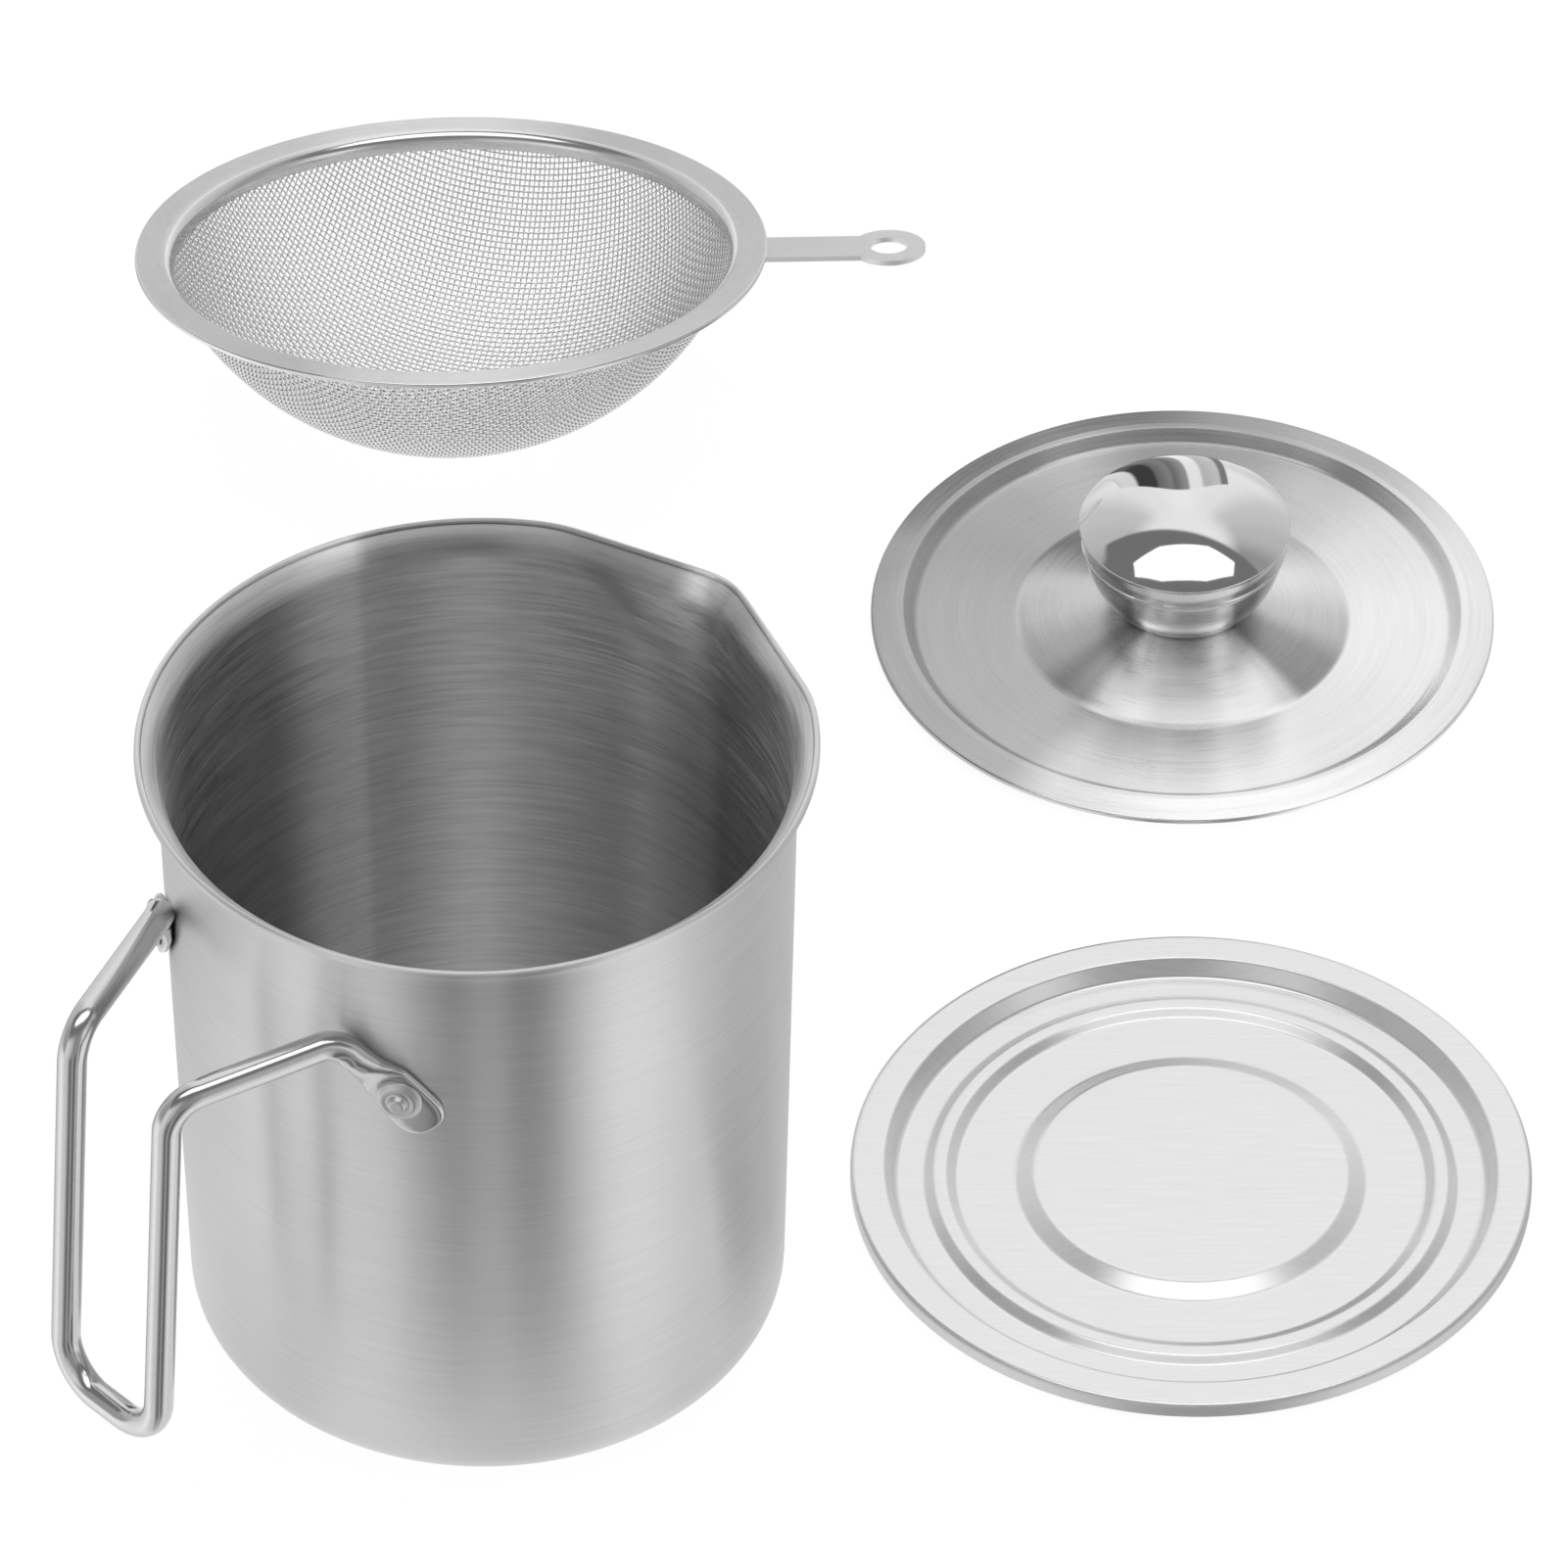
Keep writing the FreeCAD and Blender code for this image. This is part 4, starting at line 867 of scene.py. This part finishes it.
def lid_painted_reflection(nodes, place):
    """Painted reflections on the raised centre, and others on the flat around it."""
    radius, _, _, _ = polar(nodes, place, LID_SPOT)
    on_flat = passed(nodes, radius, *OFF_DOME)
    dome = painted_reflection_round(nodes, place, LID_SPOT, DOME_PAINTED_REFLECTION)
    flat = painted_reflection_round(nodes, place, LID_SPOT, LID_PAINTED_REFLECTION)
    return dome + (flat - dome) * on_flat


def weave_painted_shade_and_highlight(nodes, place):
    """Painted highlight on a wire's crests, on either side of the cloth, and painted shade between its
    neighbours.
    """
    centre = strainer_place() @ Vector((0, 0, BOWL_SPHERE * MM))
    away = nodes.add("VectorMath", {"operation": "DISTANCE"}, place, tuple(centre), out=1)
    middle = MESH_SPHERE - WEAVE_SHIFT
    depth = nodes.add("Math", {"operation": "ABSOLUTE"}, away - middle * MM)
    near, far = WEAVE_DEPTHS
    return nodes.add("MapRange", None, depth, near * MM, far * MM, *WEAVE_PAINTED_SHADE_TO_HIGHLIGHT)


def straight_grain(nodes, place):
    """Lines brushed along X."""
    x = nodes.add("SeparateXYZ", None, place, out=0)
    y = nodes.add("SeparateXYZ", None, place, out=1)
    across = nodes.add("CombineXYZ", None, x * 70, y * 1700, 0.0)
    return nodes.add("TexNoise", None, across, Scale=1.0, Detail=3.0, Roughness=0.7)


def polish_grain(nodes, place):
    """The faint cloudiness of a polished surface."""
    return nodes.add("TexNoise", None, place, Scale=900.0, Detail=3.0, Roughness=0.6)


def make_finishes():
    """Each with its brush, tone, roughness, spread and scratch, then anisotropy and painted light."""
    return {
        "pot": steel("brushed_pot_steel", wall_grain, 0.76, 0.40, 0.24, 0.06, 0.97),
        "pot_inside": steel("pot_inside_steel_painted_reflection", inside_grain, 0.70, 0.34, 0.60, 0.12, 0.97, inside_painted_reflection),
        "lid": steel("brushed_lid_steel_painted_reflection", lid_grain, 0.78, 0.28, 0.34, 0.03, 0.85, lid_painted_reflection),
        "tray": steel("brushed_tray_steel", straight_grain, 0.80, 0.32, 0.16, 0.03),
        # The tray's skirt and round-over: a rougher finish, toned darker as painted shade along the rim.
        "tray_edge": steel("tray_edge_steel_painted_shade", polish_grain, 0.70, 0.50, 0.06, 0.03),
        "ring": steel("strainer_ring_steel", ring_grain, 0.94, 0.44, 0.20, 0.04, 0.95),
        "polished": steel("polished_steel", polish_grain, 0.70, 0.05, 0.02, 0.01),
        "wire": steel("drawn_wire_steel", polish_grain, 0.62, 0.15, 0.06, 0.03),
        "rivet": steel("rivet_steel", polish_grain, 0.58, 0.36, 0.10, 0.08),
        # The woven wires carry painted shade between their neighbours and painted highlight on their
        # crests.
        "mesh": steel("mesh_wire_steel_painted_shade_and_highlight", polish_grain, 0.92, 0.26, 0.06, 0.02, 0.0, weave_painted_shade_and_highlight),
        "sleeve": steel("strainer_sleeve_steel", ring_grain, 0.74, 0.16, 0.06, 0.02),
        "tab": steel("tab_steel", polish_grain, 0.92, 0.48, 0.05, 0.03),
        "hidden": steel("machined_steel", polish_grain, 0.55, 0.28, 0.06, 0.04),
    }


def coat(finish, *pieces):
    for piece in pieces:
        piece.data.materials.clear()
        piece.data.materials.append(finish)


def coat_some(piece, finish, chosen):
    """A second finish for the faces that chosen(face) picks."""
    piece.data.materials.append(finish)
    for face in piece.data.polygons:
        face.material_index = 1 if chosen(face) else 0


def faces_inward(face):
    """On the pot: looks at its axis, or up from its floor."""
    inward = -face.normal.x * face.center.x - face.normal.y * face.center.y
    return inward > 0 or (face.normal.z > 0.5 and face.center.z < BASE_CORNER * MM)


def on_sleeve(face):
    """On the strainer's ring: the upright sleeve, its mouth and the folded outer edge."""
    return abs((strainer_place().to_3x3().transposed() @ face.normal).z) < 0.9


def on_tray_edge(face):
    """On the tray: the skirt and the round-over above it, which carry painted shade along the rim."""
    radius = math.hypot(face.center.x - TRAY_SPOT[0] * MM, face.center.y - TRAY_SPOT[1] * MM)
    return radius > (TRAY_RADIUS - 0.8) * MM and face.normal.z < 0.8


# ---- studio ----

# Metres, unlike the sizes above.
FLOOR_HALF = 12.0
FLOOR_DROP = 0.0002
FLOOR_GREY = 0.16
FLOOR_GLOW = 0.91
SHEET_RADIUS = 0.13
SHEET_DROP = 0.0001
SHEET_FADE = 0.55  # share of the radius where a sheet begins to fade
SHEET_GLOW = 0.92

# Brightness by heading in degrees, 0 towards the viewer and 90 to the right: near the table, and
# above it.
LOW_IN_THE_ROOM = [
    (-180, 0.95), (-158, 0.75), (-141, 0.50), (-124, 0.80), (-95, 1.1), (-80, 1.3), (-64, 1.05),
    (-50, 0.85), (-34, 0.85), (-22, 0.42), (-10, 0.16), (2, 0.45), (8, 0.45), (14, 0.14), (24, 0.22),
    (34, 0.70), (45, 1.1), (60, 1.15), (80, 1.0), (100, 0.8), (122, 0.65), (141, 0.50), (158, 0.75),
    (180, 0.95)]
HIGH_IN_THE_ROOM = [
    (-180, 1.15), (-160, 1.05), (-140, 0.75), (-120, 0.66), (-95, 0.47), (-70, 0.45), (-50, 1.0),
    (-20, 0.70), (0, 0.35), (30, 0.40), (50, 1.0), (75, 0.50), (95, 0.38), (120, 0.64), (140, 0.75),
    (160, 1.05), (180, 1.15)]
# Upward part of a direction, between which the lower room passes into the upper, and that into the
# ceiling.
ROOM_CHANGE = (-0.25, 0.05)
CEILING_CHANGE = (0.78, 0.93)
CEILING = 1.10
# Folds of a curtain in the back of the room, from its left to its right edge.
CURTAIN = [
    (0, 0.75), (0.05, 0.90), (0.15, 0.90), (0.19, 0.06), (0.33, 0.06), (0.37, 0.20), (0.47, 0.28),
    (0.50, 0.20), (0.61, 0.36), (0.64, 1.05), (0.73, 1.05), (0.77, 0.62), (0.91, 0.70), (0.94, 0.25),
    (1, 0.25)]
CURTAIN_TOP = 0.60
CURTAIN_SAG = 3.0
CURTAIN_MIDDLE = -0.04
CURTAIN_HALF_WIDTH = 0.26
CURTAIN_SPREAD = 0.29  # it grows wider upwards
CURTAIN_EDGE = 0.01
CURTAIN_BACK = (0.2, 0.3)
PANEL_PITCH = math.radians(79.5)
PANEL_HALF_WIDTH = math.tan(math.radians(34))
PANEL_HALF_DEPTH = math.tan(math.radians(13.5))
PANEL_CORNERS = 1.42
PANEL_EDGE = (0.97, 1.03)
PANEL_GLOW = 1.8
# The dark surround, in half widths and half depths of the panel; its back edge is slanted.
FLAG_SIDE = (1.85, 2.2)
FLAG_BACK = (1.75, 2.05)
FLAG_FRONT = (2.0, 5.0)
FLAG_SLANT = 0.7
FLAG_GLOW = 0.22

SENSOR_WIDTH = 36.0
PICTURE_WIDTH = 1601
FOCAL_PIXELS = 13000
CAMERA_TILT = math.radians(48)
CAMERA_SPOT = (0.05248, -1.62242, 1.57887)


def eased(nodes, value, low, high):
    """From 0 to 1 between low and high, eased."""
    return nodes.add("MapRange", {"interpolation_type": "SMOOTHSTEP"}, value, low, high, 0.0, 1.0)


def make_square(name, half):
    """A flat square with a bare material of its name, and that material's nodes."""
    mesh = bpy.data.meshes.new(name)
    corners = [(-half, -half, 0), (half, -half, 0), (half, half, 0), (-half, half, 0)]
    mesh.from_pydata(corners, [], [(0, 1, 2, 3)])
    square = bpy.data.objects.new(name, mesh)
    bpy.context.scene.collection.objects.link(square)
    material = bpy.data.materials.new(name)
    material.use_nodes = True
    mesh.materials.append(material)
    return square, Nodes(material.node_tree)


def make_floor():
    """A wide pale floor. The steel mirrors the studio in its place, as over a light table."""
    floor, nodes = make_square("studio_floor", FLOOR_HALF)
    floor.location.z = -FLOOR_DROP
    floor.visible_glossy = False
    matte = nodes.add("BsdfDiffuse", None, grey(FLOOR_GREY))
    glow = nodes.add("Emission", None, grey(1.0), FLOOR_GLOW)
    nodes.add("OutputMaterial", None, nodes.add("AddShader", None, matte, glow))


def make_sheet(name, spot):
    """A round of white table that only the steel beside it mirrors; it fades out towards its edge."""
    sheet, nodes = make_square(name, SHEET_RADIUS)
    sheet.location = (spot[0] * MM, spot[1] * MM, -SHEET_DROP)
    sheet.visible_camera = False
    sheet.visible_diffuse = False
    sheet.visible_shadow = False
    place = nodes.add("TexCoord", out=3)
    distance = nodes.add("VectorMath", {"operation": "LENGTH"}, place, out=1) / SHEET_RADIUS
    fade = eased(nodes, distance, SHEET_FADE, 1.0)
    glow = nodes.add("Emission", None, grey(1.0), SHEET_GLOW)
    clear = nodes.add("BsdfTransparent")
    nodes.add("OutputMaterial", None, nodes.add("MixShader", None, fade, glow, clear))


def room_glow(nodes, x, y, z):
    """Brightness of the room's sides by heading, and of its ceiling."""
    low, high = (by_heading(nodes, -1 * y, x, table) for table in (LOW_IN_THE_ROOM, HIGH_IN_THE_ROOM))
    above_table = eased(nodes, z, *ROOM_CHANGE)
    room = low * (1 - above_table) + high * above_table
    ceiling = eased(nodes, z, *CEILING_CHANGE)
    return room * (1 - ceiling) + CEILING * ceiling


def curtain_folds(nodes, x, y, z):
    """Brightness of the curtain, and where it hangs; its top sags towards its sides."""
    half_width = CURTAIN_HALF_WIDTH + CURTAIN_SPREAD * z
    across = (x - CURTAIN_MIDDLE) / half_width * 0.5 + 0.5
    folds = nodes.add("ValToRGB", {"stops": CURTAIN}, across)
    edge, top = CURTAIN_EDGE, CURTAIN_TOP
    within = eased(nodes, across, 0.0, edge) * (1 - eased(nodes, across, 1.0 - edge, 1.0))
    above = eased(nodes, z + x * x * CURTAIN_SAG, top - edge, top + edge)
    return folds, within * eased(nodes, y, *CURTAIN_BACK) * (1 - above)


def overhead_panel(nodes, x, y, z):
    """Where the eight sided panel is, and where its dark surround."""
    facing = z * math.sin(PANEL_PITCH) - y * math.cos(PANEL_PITCH)
    beside = x / facing / PANEL_HALF_WIDTH
    along = (y * math.sin(PANEL_PITCH) + z * math.cos(PANEL_PITCH)) / facing / PANEL_HALF_DEPTH
    sideways = nodes.add("Math", {"operation": "ABSOLUTE"}, beside)
    lengthways = nodes.add("Math", {"operation": "ABSOLUTE"}, along)
    edge = nodes.add("Math", {"operation": "MAXIMUM"}, sideways, lengthways)
    corners = (sideways + lengthways) / PANEL_CORNERS
    edge = nodes.add("Math", {"operation": "MAXIMUM"}, edge, corners)
    overhead = eased(nodes, facing, 0.0, 0.1)
    panel = (1 - eased(nodes, edge, *PANEL_EDGE)) * overhead
    flag = 1 - eased(nodes, sideways, *FLAG_SIDE)
    flag = flag * (1 - eased(nodes, along + beside * FLAG_SLANT, *FLAG_BACK)) * overhead
    return panel, flag * (1 - eased(nodes, -1 * along, *FLAG_FRONT))


def make_world():
    """Soft studio light by direction.

    A room with darker and lighter sides, a bright ceiling, a curtain at the back and, overhead, a
    panel in a dark surround.
    """
    world = bpy.data.worlds.new("studio")
    bpy.context.scene.world = world
    world.use_nodes = True
    nodes = Nodes(world.node_tree)
    heading = nodes.add("TexCoord")
    x, y, z = (nodes.add("SeparateXYZ", None, heading, out=axis) for axis in range(3))
    strength = room_glow(nodes, x, y, z)
    folds, curtain = curtain_folds(nodes, x, y, z)
    strength = strength * (1 - curtain) + folds * curtain
    panel, flag = overhead_panel(nodes, x, y, z)
    strength = strength * (1 - flag) + flag * FLAG_GLOW
    strength = strength * (1 - panel) + panel * PANEL_GLOW
    background = nodes.add("Background", None, grey(1.0), strength)
    nodes.add("OutputWorld", None, background)


def make_camera():
    """A long lens: the focal length is that of a 1601 pixel wide picture."""
    camera = bpy.data.objects.new("camera", bpy.data.cameras.new("camera"))
    bpy.context.scene.collection.objects.link(camera)
    camera.data.sensor_width = SENSOR_WIDTH
    camera.data.lens = FOCAL_PIXELS * SENSOR_WIDTH / PICTURE_WIDTH
    camera.data.clip_start, camera.data.clip_end = 0.05, 50.0
    camera.rotation_euler = (CAMERA_TILT, 0, 0)
    camera.location = CAMERA_SPOT
    bpy.context.scene.camera = camera


def make_container():
    finishes = make_finishes()
    pot_shell = make_pot_shell()
    coat(finishes["pot"], pot_shell)
    coat_some(pot_shell, finishes["pot_inside"], faces_inward)
    coat(finishes["wire"], make_handle())
    coat(finishes["rivet"], *make_rivets())
    strainer_ring = make_strainer_ring()
    coat(finishes["ring"], strainer_ring)
    coat_some(strainer_ring, finishes["sleeve"], on_sleeve)
    coat(finishes["polished"], make_knob_crown(), make_knob_bowl())
    coat(finishes["mesh"], *make_woven_bowl())
    coat(finishes["lid"], make_lid_sheet())
    saucer = make_saucer()
    coat(finishes["tray"], saucer)
    coat_some(saucer, finishes["tray_edge"], on_tray_edge)
    coat(finishes["tab"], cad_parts["strainer_tab"])
    for name in ("knob_nut", "knob_screw", "knob_washer"):
        coat(finishes["hidden"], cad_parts[name])


make_container()
make_floor()
make_sheet("sheet_under_pot", (0, 0))
make_sheet("sheet_under_strainer", STRAINER_SPOT)
make_world()
make_camera()
bpy.context.scene.view_settings.view_transform = "Standard"
